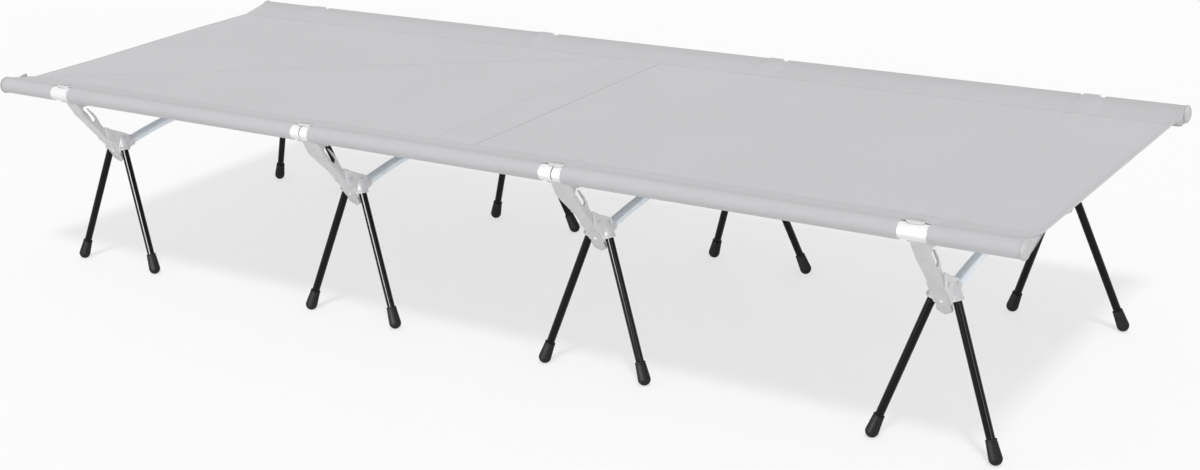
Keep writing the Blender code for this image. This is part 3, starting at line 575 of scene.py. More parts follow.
def arm_outline():
    """Give the lever arm's side outline, with its hook, keyhole, finger and tail."""
    below = ARM_LENGTH - KEYHOLE_BELOW_RAIL
    knob = arm_point(below + KNOB_RISE, KEYHOLE_OFFSET + KEYHOLE_RADIUS + KNOB_SIZE / 2)
    head = rounded([
        (RAIL_POINT + polar(HOOK_INNER + HOOK_ROOT_THICKNESS, HOOK_ROOT_ANGLE), 0),
        (arm_point(ARM_LENGTH - NECK_DROP, NECK_INSET), NECK_ROUND),
        *((knob + arm_point(up, inward), radius) for up, inward, radius in KNOB_LINE),
        (arm_point(below, KEYHOLE_OFFSET) + polar(KEYHOLE_RADIUS, KEYHOLE_START), 0),
    ])[1:-1]
    finger = rounded([
        (keyhole_outline()[-1], 0),
        *((arm_point(below - down, inward), radius) for down, inward, radius in FINGER_LINE),
        *((arm_point(up, inward), radius) for up, inward, radius in STEM_LINE),
        (arm_point(CHANNEL_BOTTOM, KNUCKLE_RADIUS), 0),
    ])[1:-1]
    knuckle_start = math.degrees(math.atan2(ARM_NORMAL.y, ARM_NORMAL.x))
    hidden = math.degrees(math.acos((TAIL_FACE_OFFSET - TAIL_THICKNESS) / KNUCKLE_RADIUS))
    knuckle_end = math.degrees(math.atan2(-TAIL_NORMAL.y, -TAIL_NORMAL.x)) + hidden
    knuckle = arc(Vector((0, 0)), KNUCKLE_RADIUS, knuckle_start, knuckle_end)
    tail = [tail_point(TAIL_END, TAIL_THICKNESS), tail_point(TAIL_END, 0)]
    outer = rounded([
        (tail_point(TAIL_END, 0), 0),
        (tail_point(TAIL_ROOT, 0), TAIL_ROOT_ROUND),
        *((arm_point(ARM_LENGTH - down, inward), radius) for down, inward, radius in FACE_LINE),
        (RAIL_POINT + polar(HOOK_INNER + HOOK_LIP_THICKNESS, HOOK_BOTTOM_ANGLE), 0),
    ])[1:]
    return hook_outline() + head + keyhole_outline() + finger + knuckle + tail + outer


def pointed_cut(tip, half_width, rise):
    """Give a cutter that leaves a plate's lower end pointed."""
    below, length = 0.060, 0.160
    wide = half_width * 3
    outline = [(0, tip), (half_width, tip + rise), (wide, tip + rise), (wide, tip - below),
               (-wide, tip - below), (-wide, tip + rise), (-half_width, tip + rise)]
    return prism("pointed_cut", [(x, -below, z) for x, z in outline], (0, length, 0))


def hook_tip_cut(side):
    """Give the cutter that rounds one corner of the hook's tip."""
    tip = RAIL_POINT + polar(HOOK_INNER, HOOK_TOP_ANGLE)
    corner = Vector((side * HEAD_WIDTH / 2, tip.x))
    outside = side * CUT_MARGIN / 2
    depth = HOOK_TIP_ROUND * HOOK_TIP_SQUASH
    outline = [corner + Vector((outside, 0.0)), corner + Vector((outside, -CUT_MARGIN)),
               corner + Vector((-side * HOOK_TIP_ROUND, -CUT_MARGIN))]
    centre = corner + Vector((-side * HOOK_TIP_ROUND, depth))
    for share in shares(8):
        turn = math.radians(90 * share - 90)
        outline.append(centre + Vector((side * HOOK_TIP_ROUND * math.cos(turn),
                                        depth * math.sin(turn))))
    outline.append(corner + Vector((outside, depth)))
    corners = [(spot.x, spot.y, tip.y - CUT_MARGIN) for spot in outline]
    return prism("hook_tip_cut", corners, (0, 0, 3 * CUT_MARGIN))


def flank_cut(side, line, reach):
    """Give a cutter that leaves one flank on a line of half widths and heights."""
    outline = [*line, (line[-1][0], -reach), (reach, -reach), (reach, line[0][1])]
    return prism("flank_cut", [(side * x, -reach, z) for x, z in outline], (0, 2 * reach, 0))


def make_arm_mesh(wide):
    """Model the lever arm: hook, channel with keyhole, knuckle and tail."""
    body = extruded("lever_arm", arm_outline(), UNCUT_HALF_WIDTH if wide else HEAD_WIDTH / 2)
    half = ARM_WIDTH / 2
    level = RAIL_POINT.y - HEAD_DEPTH
    inside = -ARM_FACE_OFFSET + ARM_PLATE
    top = ARM_LENGTH - CHANNEL_TOP
    channel = [arm_point(CHANNEL_BOTTOM, inside), arm_point(ARM_LENGTH - CHANNEL_SLOPE, inside),
               arm_point(top, inside + CHANNEL_RAMP), arm_point(top, CHANNEL_REACH),
               arm_point(CHANNEL_BOTTOM, CHANNEL_REACH)]
    cuts = [extruded("channel", channel, half - ARM_FLANGE),
            pointed_cut(tail_point(TAIL_END, 0).y, half, TAIL_POINT)]
    taper = [(SHOULDER_WIDTH / 2, level), (half, TAPER_END)]
    for side in (-1, 1):
        line, reach = taper, ARM_LENGTH
        if wide:
            reach = 2 * ARM_LENGTH
            line = WIDE_FLANK if side < 0 else [(HEAD_WIDTH / 2, level + SHOULDER_STEP), *taper]
            line = [(line[0][0], reach), *line]
        cuts.append(flank_cut(side, line, reach))
        cuts.append(hook_tip_cut(side))
    return moulded(boolean(body, "DIFFERENCE", cuts), *ARM_MOULD)


def make_pin_mesh():
    """Model a pivot pin with a domed head at each end, and the small rivet on the tail."""
    shank = HUB_HALF_WIDTH + CLEARANCE
    head = [
        (PIN_HEAD_RADIUS, shank),
        (PIN_HEAD_RADIUS, shank + PIN_HEAD_THICKNESS * 0.35),
        (PIN_HEAD_RADIUS * 0.85, shank + PIN_HEAD_THICKNESS * 0.8),
        (PIN_HEAD_RADIUS * 0.45, shank + PIN_HEAD_THICKNESS),
        (0, shank + PIN_HEAD_THICKNESS),
    ]
    lower = [(radius, -height) for radius, height in reversed(head)]
    profile = [*lower, (PIN_RADIUS, -shank), (PIN_RADIUS, shank), *head]
    pin = turned_along_x("pivot_pin", profile, 24)
    face = tail_point(TAIL_ROOT + TAIL_RIVET_DROP, 0)
    outward = Vector((0, -TAIL_NORMAL.x, -TAIL_NORMAL.y))
    seat = Matrix.LocRotScale(
        (TAIL_RIVET_SHIFT, face.x, face.y), outward.to_track_quat("Z", "X"),
        (TAIL_RIVET_RADIUS, TAIL_RIVET_RADIUS, TAIL_RIVET_RISE))
    bm = bmesh.new()
    bm.from_mesh(pin)
    bmesh.ops.create_uvsphere(bm, u_segments=20, v_segments=12, radius=1.0, matrix=seat)
    return to_mesh(bm, "pivot_pin")


# Hub, legs, feet and crossbar

def mouth_point(side):
    """Give the middle of a socket's mouth, measured from the pivot."""
    return Vector((side * MOUTH_SPREAD, MOUTH_INSET, -MOUTH_DROP))


def foot_point(side):
    """Give the middle of a foot's ball end, measured from the pivot."""
    return Vector((side * FOOT_SPREAD, FOOT_INSET - PIVOT_INSET, FOOT_RADIUS - PIVOT_Z))


def leg_matrix(side, start):
    """Give a frame with Z up the leg and X toward the floor."""
    upward = (mouth_point(side) - foot_point(side)).normalized()
    down = Vector((0, 0, -1))
    forward = (down - upward * down.dot(upward)).normalized()
    across = upward.cross(forward)
    rotation = Matrix((forward, across, upward)).transposed().to_4x4()
    return Matrix.Translation(start) @ rotation


def bar_axis(distance):
    """Give a point of a crossbar's axis, at a distance inboard of the collar's mouth."""
    lean = math.radians(BAR_END_LEAN)
    along = Vector((0, math.cos(lean), math.sin(lean)))
    return Vector((0, COLLAR_REACH, -BAR_DROP)) + along * distance


def make_hub_mesh():
    """Model the hub: forked cheeks, two leg sockets, the crossbar collar and a lip."""
    outline = rounded([
        *((Vector((inboard, up)), radius) for inboard, up, radius in HUB_LINE),
        (tail_point(TAIL_ROOT + 0.0200, 0.0010), 0),
        (tail_point(TAIL_ROOT + 0.0010, 0.0010), 0.005),
        (Vector((-0.0088, -0.0030)), 0.008),
    ])
    core = extruded("hub", outline, HUB_HALF_WIDTH)
    gap = TAIL_THICKNESS + CLEARANCE
    lip_end = TAIL_END + (LIP_DEPTH + tail_point(TAIL_END, gap).y) / -TAIL_DIRECTION.y
    lip_front, lip_back = gap - 0.0002, gap + LIP_THICKNESS
    lip = extruded("lip", [
        tail_point(LIP_START, lip_front), tail_point(lip_end, lip_front),
        tail_point(lip_end, lip_back), tail_point(LIP_START, lip_back),
    ], ARM_WIDTH / 2)
    lip = boolean(lip, "DIFFERENCE",
                  [pointed_cut(tail_point(lip_end, gap).y, ARM_WIDTH / 2, TAIL_POINT)])
    additions = [lip]
    cuts = []
    for side in (-1, 1):
        place = leg_matrix(side, mouth_point(side))
        socket = turned("socket", [
            (0, SOCKET_DEPTH + SOCKET_CAP),
            (BORE_RADIUS + SOCKET_TOP_WALL * 0.5, SOCKET_DEPTH + SOCKET_CAP),
            (BORE_RADIUS + SOCKET_TOP_WALL, SOCKET_DEPTH * 0.9),
            (BORE_RADIUS + SOCKET_MOUTH_WALL, SOCKET_RIM_HEIGHT * 1.5),
            (BORE_RADIUS + SOCKET_RIM_WALL, SOCKET_RIM_HEIGHT),
            (BORE_RADIUS + SOCKET_RIM_WALL, 0),
            (0, 0),
        ])
        additions.append(placed(socket, place))
        bore = turned("bore", [(0, SOCKET_DEPTH), (BORE_RADIUS, SOCKET_DEPTH),
                               (BORE_RADIUS + 0.0001, -CUT_MARGIN), (0, -CUT_MARGIN)])
        cuts.append(placed(bore, place))
    lean = Matrix.Rotation(math.radians(BAR_END_LEAN) - QUARTER, 4, "X")
    place = Matrix.Translation(bar_axis(0)) @ lean
    radius = COLLAR_BORE + COLLAR_WALL
    collar = turned("collar", [(0, -COLLAR_ROOT), (radius, -COLLAR_ROOT), (radius, 0), (0, 0)])
    additions.append(placed(collar, place))
    bore = turned("bar_bore", [(0, -COLLAR_DEPTH), (COLLAR_BORE, -COLLAR_DEPTH),
                               (COLLAR_BORE, CUT_MARGIN), (0, CUT_MARGIN)])
    cuts.append(placed(bore, place))
    front = [Vector((FORK_DEPTH, 0.0300)), Vector((FORK_DEPTH, -0.0040)),
             tail_point(0.0125, gap), tail_point(TAIL_END + 0.0100, gap)]
    away = Vector((-0.120, 0))
    cuts.append(extruded("fork", [*front, front[-1] + away, front[0] + away],
                         ARM_WIDTH / 2 + CHEEK_GAP))
    reach = HUB_HALF_WIDTH + CUT_MARGIN
    radius = PIN_RADIUS + CLEARANCE
    cuts.append(turned_along_x("pin_hole", [
        (0, -reach), (radius, -reach), (radius, reach), (0, reach)]))
    solid = moulded(boolean(core, "UNION", additions), *HUB_MOULD)
    return boolean(solid, "DIFFERENCE", cuts)


def make_leg_mesh():
    """Model a leg tube, from inside its socket to inside its foot."""
    low = FOOT_FLOOR + CLEARANCE
    high = (mouth_point(1) - foot_point(1)).length + SOCKET_DEPTH - CLEARANCE
    edge = LEG_EDGE
    inner = LEG_RADIUS - LEG_WALL
    return turned("leg", [
        (LEG_RADIUS - edge, high), (LEG_RADIUS, high - edge), (LEG_RADIUS, low + edge),
        (LEG_RADIUS - edge, low), (inner, low), (inner, high),
    ], closed=True)


def make_foot_mesh():
    """Model a rubber foot with a ball end, a taper, a rolled collar and a bore."""
    profile = [(0, -FOOT_RADIUS)]
    for share in shares(10)[1:]:
        angle = QUARTER * share
        profile.append((FOOT_RADIUS * math.sin(angle), -FOOT_RADIUS * math.cos(angle)))
    waist = FOOT_HEIGHT - FOOT_COLLAR_LENGTH
    for share in shares(8)[1:]:
        profile.append((FOOT_RADIUS + (FOOT_COLLAR_RADIUS - FOOT_RADIUS) * share, waist * share))
    profile += [
        (FOOT_COLLAR_RADIUS, FOOT_HEIGHT - 0.0042),
        (FOOT_COLLAR_RADIUS - FOOT_GROOVE, FOOT_HEIGHT - 0.0036),
        (FOOT_COLLAR_RADIUS - FOOT_GROOVE, FOOT_HEIGHT - 0.0030),
        (FOOT_COLLAR_RADIUS, FOOT_HEIGHT - 0.0024),
        (FOOT_COLLAR_RADIUS, FOOT_HEIGHT - FOOT_RIM),
        (FOOT_COLLAR_RADIUS - FOOT_RIM * 0.4, FOOT_HEIGHT - FOOT_RIM * 0.2),
        (FOOT_COLLAR_RADIUS - FOOT_RIM, FOOT_HEIGHT),
        (BORE_RADIUS, FOOT_HEIGHT),
        (BORE_RADIUS, FOOT_FLOOR),
        (0, FOOT_FLOOR),
    ]
    return turned("foot", profile)


def make_crossbar_mesh():
    """Model an arched crossbar whose straight ends fit the collars."""
    ends = []
    for distance in (-COLLAR_DEPTH + CLEARANCE, BAR_RADIUS):
        spot = bar_axis(distance)
        ends.append(Vector((0, spot.y - PIVOT_Y, spot.z + PIVOT_Z)))
    lean = math.radians(BAR_END_LEAN)
    bend = -ends[-1].y / math.sin(lean)
    path = [ends[0]]
    for share in shares(BAR_STEPS):
        turn = lean * (2 * share - 1)
        rise = bend * (math.cos(turn) - math.cos(lean))
        path.append(Vector((0, bend * math.sin(turn), ends[-1].z + rise)))
    path.append(Vector((0, -ends[0].y, ends[0].z)))
    return swept_tube("crossbar", path, BAR_RADIUS, BAR_WALL)


# Rails and plugs

def make_middle_rail_mesh():
    """Model a middle rail section with a spigot at each end."""
    low = -INNER_STATION - JOINT_SHIFT + JOINT_GAP / 2
    high = INNER_STATION - JOINT_SHIFT - JOINT_GAP / 2
    edge = RAIL_CHAMFER
    spigot = RAIL_BORE - CLEARANCE
    inner = spigot - SPIGOT_WALL
    reach = INNER_STATION + SPIGOT_LENGTH
    return turned_along_x("middle_rail", [
        (inner, -reach), (spigot, -reach), (spigot, low), (RAIL_RADIUS - edge, low),
        (RAIL_RADIUS, low + edge), (RAIL_RADIUS, high - edge), (RAIL_RADIUS - edge, high),
        (spigot, high), (spigot, reach), (inner, reach),
    ], closed=True)


def make_end_rail_mesh(shift):
    """Model an end rail section, open at its inner end."""
    start = INNER_STATION + shift + JOINT_GAP / 2
    edge = RAIL_CHAMFER
    return turned_along_x("end_rail", [
        (RAIL_BORE, start), (RAIL_RADIUS - edge, start), (RAIL_RADIUS, start + edge),
        (RAIL_RADIUS, RAIL_END), (RAIL_BORE, RAIL_END),
    ], closed=True)


def make_plug_mesh():
    """Model a domed end plug with its flange and its stem."""
    edge = PLUG_EDGE
    flange = RAIL_END + PLUG_FLANGE_THICKNESS
    dome = []
    for share in shares(10)[1:]:
        angle = QUARTER * share
        dome.append(((PLUG_FLANGE_RADIUS - edge) * math.cos(angle),
                     flange + PLUG_DOME_HEIGHT * math.sin(angle)))
    return turned_along_x("end_plug", [
        (0, RAIL_END - PLUG_STEM), (RAIL_BORE, RAIL_END - PLUG_STEM), (RAIL_BORE, RAIL_END),
        (PLUG_FLANGE_RADIUS - edge * 0.3, RAIL_END - edge * 0.5),
        (PLUG_FLANGE_RADIUS, RAIL_END + edge * 0.3), (PLUG_FLANGE_RADIUS, flange - edge),
        (PLUG_FLANGE_RADIUS - edge, flange), *dome,
    ])


# Bed fabric

def sleeve_profile():
    """Give the cloth's section from the seam, round the rail, to the middle."""
    under = Vector((SEAM_INSET, -SEAM_GAP))
    lower = polar(CLOTH_ROUND, -CLOTH_TOUCH)
    upper = polar(CLOTH_ROUND, CLOTH_TOUCH)
    seam = Vector((SEAM_INSET, 0.0))
    edge = (WINDOW_UNDER_EDGE - SEAM_INSET) / (lower.x - SEAM_INSET)
    points = [under.lerp(lower, share) for share in (*UNDER_SHARES, edge, 0.85)]
    points += arc(Vector((0, 0)), CLOTH_ROUND, -CLOTH_TOUCH, -360.0 + CLOTH_TOUCH, 10.0)
    edge = (WINDOW_TOP_EDGE - upper.x) / (SEAM_INSET - upper.x)
    points += [upper.lerp(seam, share) for share in (edge, *UPPER_SHARES)]
    stops = [SEAM_INSET + step for step in SEAM_MARKS]
    count = round((RAIL_OFFSET - stops[-1]) / BED_ROW)
    stops += [stops[-1] + (RAIL_OFFSET - stops[-1]) * k / count for k in range(1, count + 1)]
    return points + [Vector((stop, 0.0)) for stop in stops]


def lengths_along(profile):
    """Give how far along the cloth each point of its section lies."""
    lengths = [0.0]
    for first, second in zip(profile, profile[1:]):
        lengths.append(lengths[-1] + (second - first).length)
    return lengths


def window_ends(station, side):
    """Give a window's ends along X, on the near (-1) or far (1) side."""
    low, high = WINDOW_ENDS.get(station * -side, (-WINDOW_LENGTH / 2, WINDOW_LENGTH / 2))
    if side < 0:
        return station + low, station + high
    return station - high, station - low


def bed_columns(side):
    """Give the cloth's stations along X, with one on each edge and seam."""
    marks = {-BED_HALF, BED_HALF}
    for sign in (-1, 1):
        marks.update(sign * (BED_HALF - inset) for inset in HEM_MARKS)
        marks.update(BAND_MIDDLE + sign * (BAND_HALF + step) for step in BAND_MARKS)
    for station in STATIONS:
        for offset in ARM_MARKS:
            marks.update((station - offset, station + offset))
        left, right = window_ends(station, side)
        for step in WINDOW_MARKS:
            marks.update((left - step, right + step))
    count = round(BED_LENGTH / BED_COLUMN)
    for index in range(count + 1):
        value = -BED_HALF + BED_LENGTH * index / count
        if min(abs(value - mark) for mark in marks) > 0.3 * BED_COLUMN:
            marks.add(value)
    return sorted(marks)


def fade(value, start, end):
    """Give a smooth step from 0 at start to 1 at end."""
    share = min(max((value - start) / (end - start), 0.0), 1.0)
    return share * share * (3 - 2 * share)


def hump(value, width):
    """Give a smooth hump of height 1 and a half width."""
    return math.exp(-(value / width) ** 2)


def over_round(radius, inset):
    """Give the height of cloth drawn from the seam over a round of a radius."""
    if inset >= SEAM_INSET:
        return 0.0
    touch = math.acos(radius / SEAM_INSET)
    if inset < radius * math.cos(touch):
        return math.sqrt(max(radius * radius - inset * inset, 0.0))
    return (radius - inset * math.cos(touch)) / math.sin(touch)


def under_sag(x, inset):
    """Give how far the sleeve's lower layer hangs, at the ends of the bed."""
    share = min(max((inset - END_SAG_START) / (SEAM_INSET - END_SAG_START), 0.0), 1.0)
    end = BED_HALF - abs(x)
    return END_SAG * math.sin(math.pi * share ** 0.7) * (1 - fade(end, 0.0, END_SAG_REACH))


def crease_distance(x, across):
    """Give the distance to the faint diagonal crease."""
    along = CREASE_END - CREASE_START
    place = Vector((x, across)) - CREASE_START
    share = min(max(place.dot(along) / along.length_squared, 0.0), 1.0)
    return (place - along * share).length


def cloth_height(x, across, inset, top):
    """Give how far the cloth stands off its plain section."""
    if not top:
        return -under_sag(x, inset)
    offset = min(abs(x - station) for station in STATIONS)
    spread = fade(inset, WINDOW_TOP_EDGE, WINDOW_TOP_EDGE + HOOK_DRAPE_REACH)
    reach = HOOK_DRAPE + HOOK_DRAPE_SPREAD * spread
    width = 1 - fade(offset, HEAD_WIDTH / 2, HEAD_WIDTH / 2 + reach)
    width *= fade(inset, 0.0, WINDOW_TOP_EDGE)
    lift = (over_round(HOOK_REACH, inset) - over_round(CLOTH_ROUND, inset)) * width
    lift -= SEAM_DIP * hump(inset - SEAM_INSET, SEAM_DIP_WIDTH)
    end = BED_HALF - abs(x)
    lift += LAYER_RISE * (1 - fade(end, HEM_WIDTH - LAYER_EDGE, HEM_WIDTH + LAYER_EDGE))
    band = BAND_HALF - abs(x - BAND_MIDDLE)
    on_bed = fade(inset, SEAM_INSET, SEAM_INSET + BAND_FADE)
    lift += LAYER_RISE * fade(band, -LAYER_EDGE, LAYER_EDGE) * on_bed
    crease = hump(crease_distance(x, across), CREASE_WIDTH)
    lift += CREASE_RISE * crease * fade(inset, SEAM_INSET, SEAM_INSET + CREASE_FADE)
    slow = noise.noise(Vector((x * SLACK_WAVES, across * SLACK_RIPPLES, SLACK_PHASE)))
    lift += SLACK_RISE * slow * fade(inset, SEAM_INSET, SEAM_INSET + SLACK_FADE)
    pull = hump(offset, PULL_WIDTH) * fade(inset, PULL_START, SEAM_INSET)
    pull *= 1 - fade(inset, SEAM_INSET, SEAM_INSET + PULL_FADE)
    return lift + PULL_RISE * pull * math.cos(offset * 2 * math.pi / PULL_PITCH)


def in_window(x, side, inset, top, on_round):
    """Tell whether a place lies in a sleeve window."""
    windows = (window_ends(station, side) for station in STATIONS)
    if not any(left < x < right for left, right in windows):
        return False
    return on_round or inset < (WINDOW_TOP_EDGE if top else WINDOW_UNDER_EDGE) - 1e-6


def make_cloth_mesh(name, side):
    """Model the middle layer of one half of the bed fabric, with its windows cut out."""
    profile = sleeve_profile()
    lengths = lengths_along(profile)
    columns = bed_columns(side)
    outboard = [row for row, point in enumerate(profile) if point.x < 0]
    lowest, turn = outboard[0], outboard[-1]
    bm = bmesh.new()
    uv = bm.loops.layers.uv.new("cloth")
    grid = []
    for x in columns:
        line = []
        for row, point in enumerate(profile):
            across = side * (RAIL_OFFSET - point.x)
            lift = cloth_height(x, across, point.x, row > turn)
            line.append(bm.verts.new((x, across, RAIL_HEIGHT + point.y + lift)))
        grid.append(line)
    for column, (left, right) in enumerate(zip(grid, grid[1:])):
        middle = (columns[column] + columns[column + 1]) / 2
        for row in range(len(profile) - 1):
            inset = (profile[row].x + profile[row + 1].x) / 2
            if in_window(middle, side, inset, row >= turn, lowest - 1 <= row <= turn):
                continue
            corners = (left[row], right[row], right[row + 1], left[row + 1])
            bm.faces.new(corners if side < 0 else corners[::-1]).smooth = True
    for x, line in zip(columns, grid):
        for vert, length in zip(line, lengths):
            for loop in vert.link_loops:
                loop[uv].uv = (x, length)
    loose = [vert for vert in bm.verts if not vert.link_faces]
    bmesh.ops.delete(bm, geom=loose, context="VERTS")
    return to_mesh(bm, name)


def add_end_flap(bm, x, side):
    """Close the sleeve beside the rail's plug with a thin sewn-in flap."""
    outward = math.copysign(1.0, x)
    rings = []
    for share in (2.0 * step - 1.0 for step in shares(END_FLAP_STEPS)):
        hold = polar(PLUG_FLANGE_RADIUS + 0.0002, -CLOTH_TOUCH * share)
        tangent = polar(CLOTH_ROUND - CLOTH_THICKNESS * 0.4, math.copysign(CLOTH_TOUCH, -share))
        edge = tangent.lerp(Vector((SEAM_INSET - 0.0015, 0.0)), 1.0 - abs(share))
        if share > 0:
            edge.y -= under_sag(x, edge.x)
        ring = []
        rise = 1 - share * share
        for spot, bulge in ((hold, PLUG_FLANGE_THICKNESS), (hold.lerp(edge, 0.4), END_FLAP_BULGE),
                            (edge, 0.0)):
            for depth in (0.0, END_FLAP_THICKNESS):
                ring.append(bm.verts.new((x + outward * (bulge * rise - depth),
                                          side * (RAIL_OFFSET - spot.x), RAIL_HEIGHT + spot.y)))
        rings.append([ring[corner] for corner in (0, 2, 4, 5, 3, 1)])
    if outward * side < 0:
        rings.reverse()
    for first, second in zip(rings, rings[1:]):
        for face in bridge(bm, first, second):
            face.smooth = True
    for ring in (rings[0][::-1], rings[-1]):
        for corners in ((0, 1, 4, 5), (1, 2, 3, 4)):
            bm.faces.new([ring[corner] for corner in corners])


def add_end_tab(bm):
    """Add the short tape tab at the bed's near left corner."""
    foot = Vector((-BED_HALF + 0.0015, -RAIL_OFFSET + TAB_INSET, RAIL_HEIGHT + TAB_RISE))
    left, right = ([bm.verts.new(foot + Vector((shift, inboard, up))) for inboard, up in TAB_LINE]
                   for shift in (0.0, TAB_THICKNESS))
    for face in (bm.faces.new(left[::-1]), bm.faces.new(right), *bridge(bm, left, right)):
        face.material_index = 1


def add_stitch(bm, centre, along, across):
    """Add one low raised stitch, a closed body."""
    tips = [bm.verts.new(centre + along * STITCH_LENGTH * share) for share in (-0.5, 0.5)]
    side = across * STITCH_WIDTH / 2
    rise = Vector((0, 0, STITCH_WIDTH * 0.5))
    rings = []
    for share in (-0.28, 0.28):
        middle = centre + along * STITCH_LENGTH * share
        rings.append([bm.verts.new(spot) for spot in (middle - side, middle + rise, middle + side)])
    faces = bridge(bm, *rings)
    for tip, ring in ((tips[0], rings[0][::-1]), (tips[1], rings[1])):
        faces += [bm.faces.new((tip, ring[index - 1], ring[index])) for index in range(3)]
    for face in faces:
        face.material_index = 1


def stitch_rows(far):
    """Give the stitches of a half: place along X, inset, whether lengthwise."""
    count = int((BED_LENGTH - 2 * SEAM_STITCH_END) / STITCH_PITCH)
    rows = [(-BED_HALF + SEAM_STITCH_END + index * STITCH_PITCH, SEAM_INSET + SEAM_STITCH, True)
            for index in range(count)]
    count = int((RAIL_OFFSET - STITCH_PITCH - SEAM_INSET) / STITCH_PITCH)
    lines = [sign * (BED_HALF - HEM_WIDTH + HEM_STITCH) for sign in (-1, 1)]
    lines += [BAND_MIDDLE + BAND_HALF - BAND_STITCH, BAND_MIDDLE - BAND_HALF + BAND_STITCH]
    for x in lines:
        rows += [(-x if far else x, SEAM_INSET + CROSS_STITCH_START + index * STITCH_PITCH, False)
                 for index in range(count + 1)]
    return rows


def make_bed_half(name, far, materials):
    """Model one half of the bed fabric, with its flaps and stitches."""
    side = 1 if far else -1
    mesh = make_cloth_mesh(name, side)
    for material in materials:
        mesh.materials.append(material)
    base = add_object("base", mesh)
    thick = base.modifiers.new("thick", "SOLIDIFY")
    thick.thickness = CLOTH_THICKNESS
    thick.offset = 0.0
    thick.use_even_offset = True
    mesh = baked(base)
    mesh.set_sharp_from_angle(angle=SHARP_ANGLE)
    bm = bmesh.new()
    bm.from_mesh(mesh)
    for sign in (-1, 1):
        add_end_flap(bm, sign * (BED_HALF - END_FLAP_INSET), side)
    if not far:
        add_end_tab(bm)
    for x, inset, lengthwise in stitch_rows(far):
        across = side * (RAIL_OFFSET - inset)
        lift = cloth_height(x, across, inset, True)
        centre = Vector((x, across, RAIL_HEIGHT + lift + CLOTH_THICKNESS / 2 - STITCH_SINK))
        along = Vector((1, 0, 0)) if lengthwise else Vector((0, 1, 0))
        add_stitch(bm, centre, along, Vector((along.y, along.x, 0)))
    bm.to_mesh(mesh)
    bm.free()
    return add_object(name, mesh)


# Materials

def new_material(name):
    """Give a new material with its node tree and its shader."""
    material = bpy.data.materials.new(name)
    material.use_nodes = True
    return material, material.node_tree, material.node_tree.nodes["Principled BSDF"]


def fill(tree, node, values):
    """Set or link each named input of a node."""
    for name, value in values.items():
        if isinstance(value, bpy.types.NodeSocket):
            tree.links.new(value, node.inputs[name])
        else:
            node.inputs[name].default_value = value


def add_node(tree, kind, values):
    """Add a node with its inputs set or linked."""
    node = tree.nodes.new(kind)
    fill(tree, node, values)
    return node


def math_node(tree, operation, first, *others):
    """Work out one operation on a value or socket and each of the others in turn."""
    for other in others or (None,):
        node = tree.nodes.new("ShaderNodeMath")
        node.operation = operation
        fill(tree, node, {0: first} if other is None else {0: first, 1: other})
        first = node.outputs[0]
    return first


def times(tree, *values):
    """Multiply values or sockets."""
    return math_node(tree, "MULTIPLY", *values)


def noise_node(tree, vector, scale, detail, roughness=0.5):
    """Add a noise texture and give its value."""
    return add_node(tree, "ShaderNodeTexNoise", {
        "Vector": vector, "Scale": scale, "Detail": detail, "Roughness": roughness,
    }).outputs["Fac"]


def mixed(tree, factor, first, second, blend="MIX"):
    """Mix two colours, or multiply the first by the second, by a factor."""
    mix = tree.nodes.new("ShaderNodeMix")
    mix.data_type = "RGBA"
    mix.blend_type = blend
    fill(tree, mix, {"Factor": factor, "A": first, "B": second})
    return mix.outputs["Result"]


def ramp(tree, factor, low, high, dark, light):
    """Map a value to a colour between two, over a range."""
    spread = add_node(tree, "ShaderNodeMapRange",
                      {"Value": factor, "From Min": low, "From Max": high})
    return mixed(tree, spread.outputs["Result"], (*dark, 1.0), (*light, 1.0))


def add_bump(tree, shader, height, strength, distance):
    """Drive the shader's normal with a height."""
    node = add_node(tree, "ShaderNodeBump",
                    {"Height": height, "Strength": strength, "Distance": distance})
    fill(tree, shader, {"Normal": node.outputs["Normal"]})


def seam_line(tree, place, width):
    """Give 1 on a line and 0 away from it, from a signed distance."""
    scaled = math_node(tree, "DIVIDE", place, width)
    return math_node(tree, "POWER", math.exp(-1.0), times(tree, scaled, scaled))


def seam_shade(tree, around, along, spot, far, seam_place):
    """Give how dark the painted shade makes the cloth along its hems, band, seam and crease."""
    on_bed = math_node(tree, "GREATER_THAN", around, seam_place + 0.001)
    lines = []
    for place, weight in SEAM_LINES:
        line = seam_line(tree, math_node(tree, "SUBTRACT", along, place), SEAM_LINE_WIDTH)
        lines.append(times(tree, line, weight, on_bed))
    distance = math_node(tree, "SUBTRACT", around, seam_place + 0.0008)
    weight = math_node(tree, "ADD", times(tree, far, FAR_SEAM_WEIGHT), SEAM_WEIGHT)
    lines.append(times(tree, seam_line(tree, distance, SEAM_LINE_WIDTH), weight))
    direction = (CREASE_END - CREASE_START).normalized()
    normal = Vector((-direction.y, direction.x))
    crease = math_node(tree, "ADD", times(tree, spot.outputs["X"], normal.x),
                       times(tree, spot.outputs["Y"], normal.y))
    crease = math_node(tree, "SUBTRACT", crease, normal.dot(CREASE_START))
    crease = seam_line(tree, crease, 2.5 * SEAM_LINE_WIDTH)
    lines.append(times(tree, crease, CREASE_WEIGHT, on_bed))
    return times(tree, math_node(tree, "MAXIMUM", *lines), SEAM_LINE_SHADE)


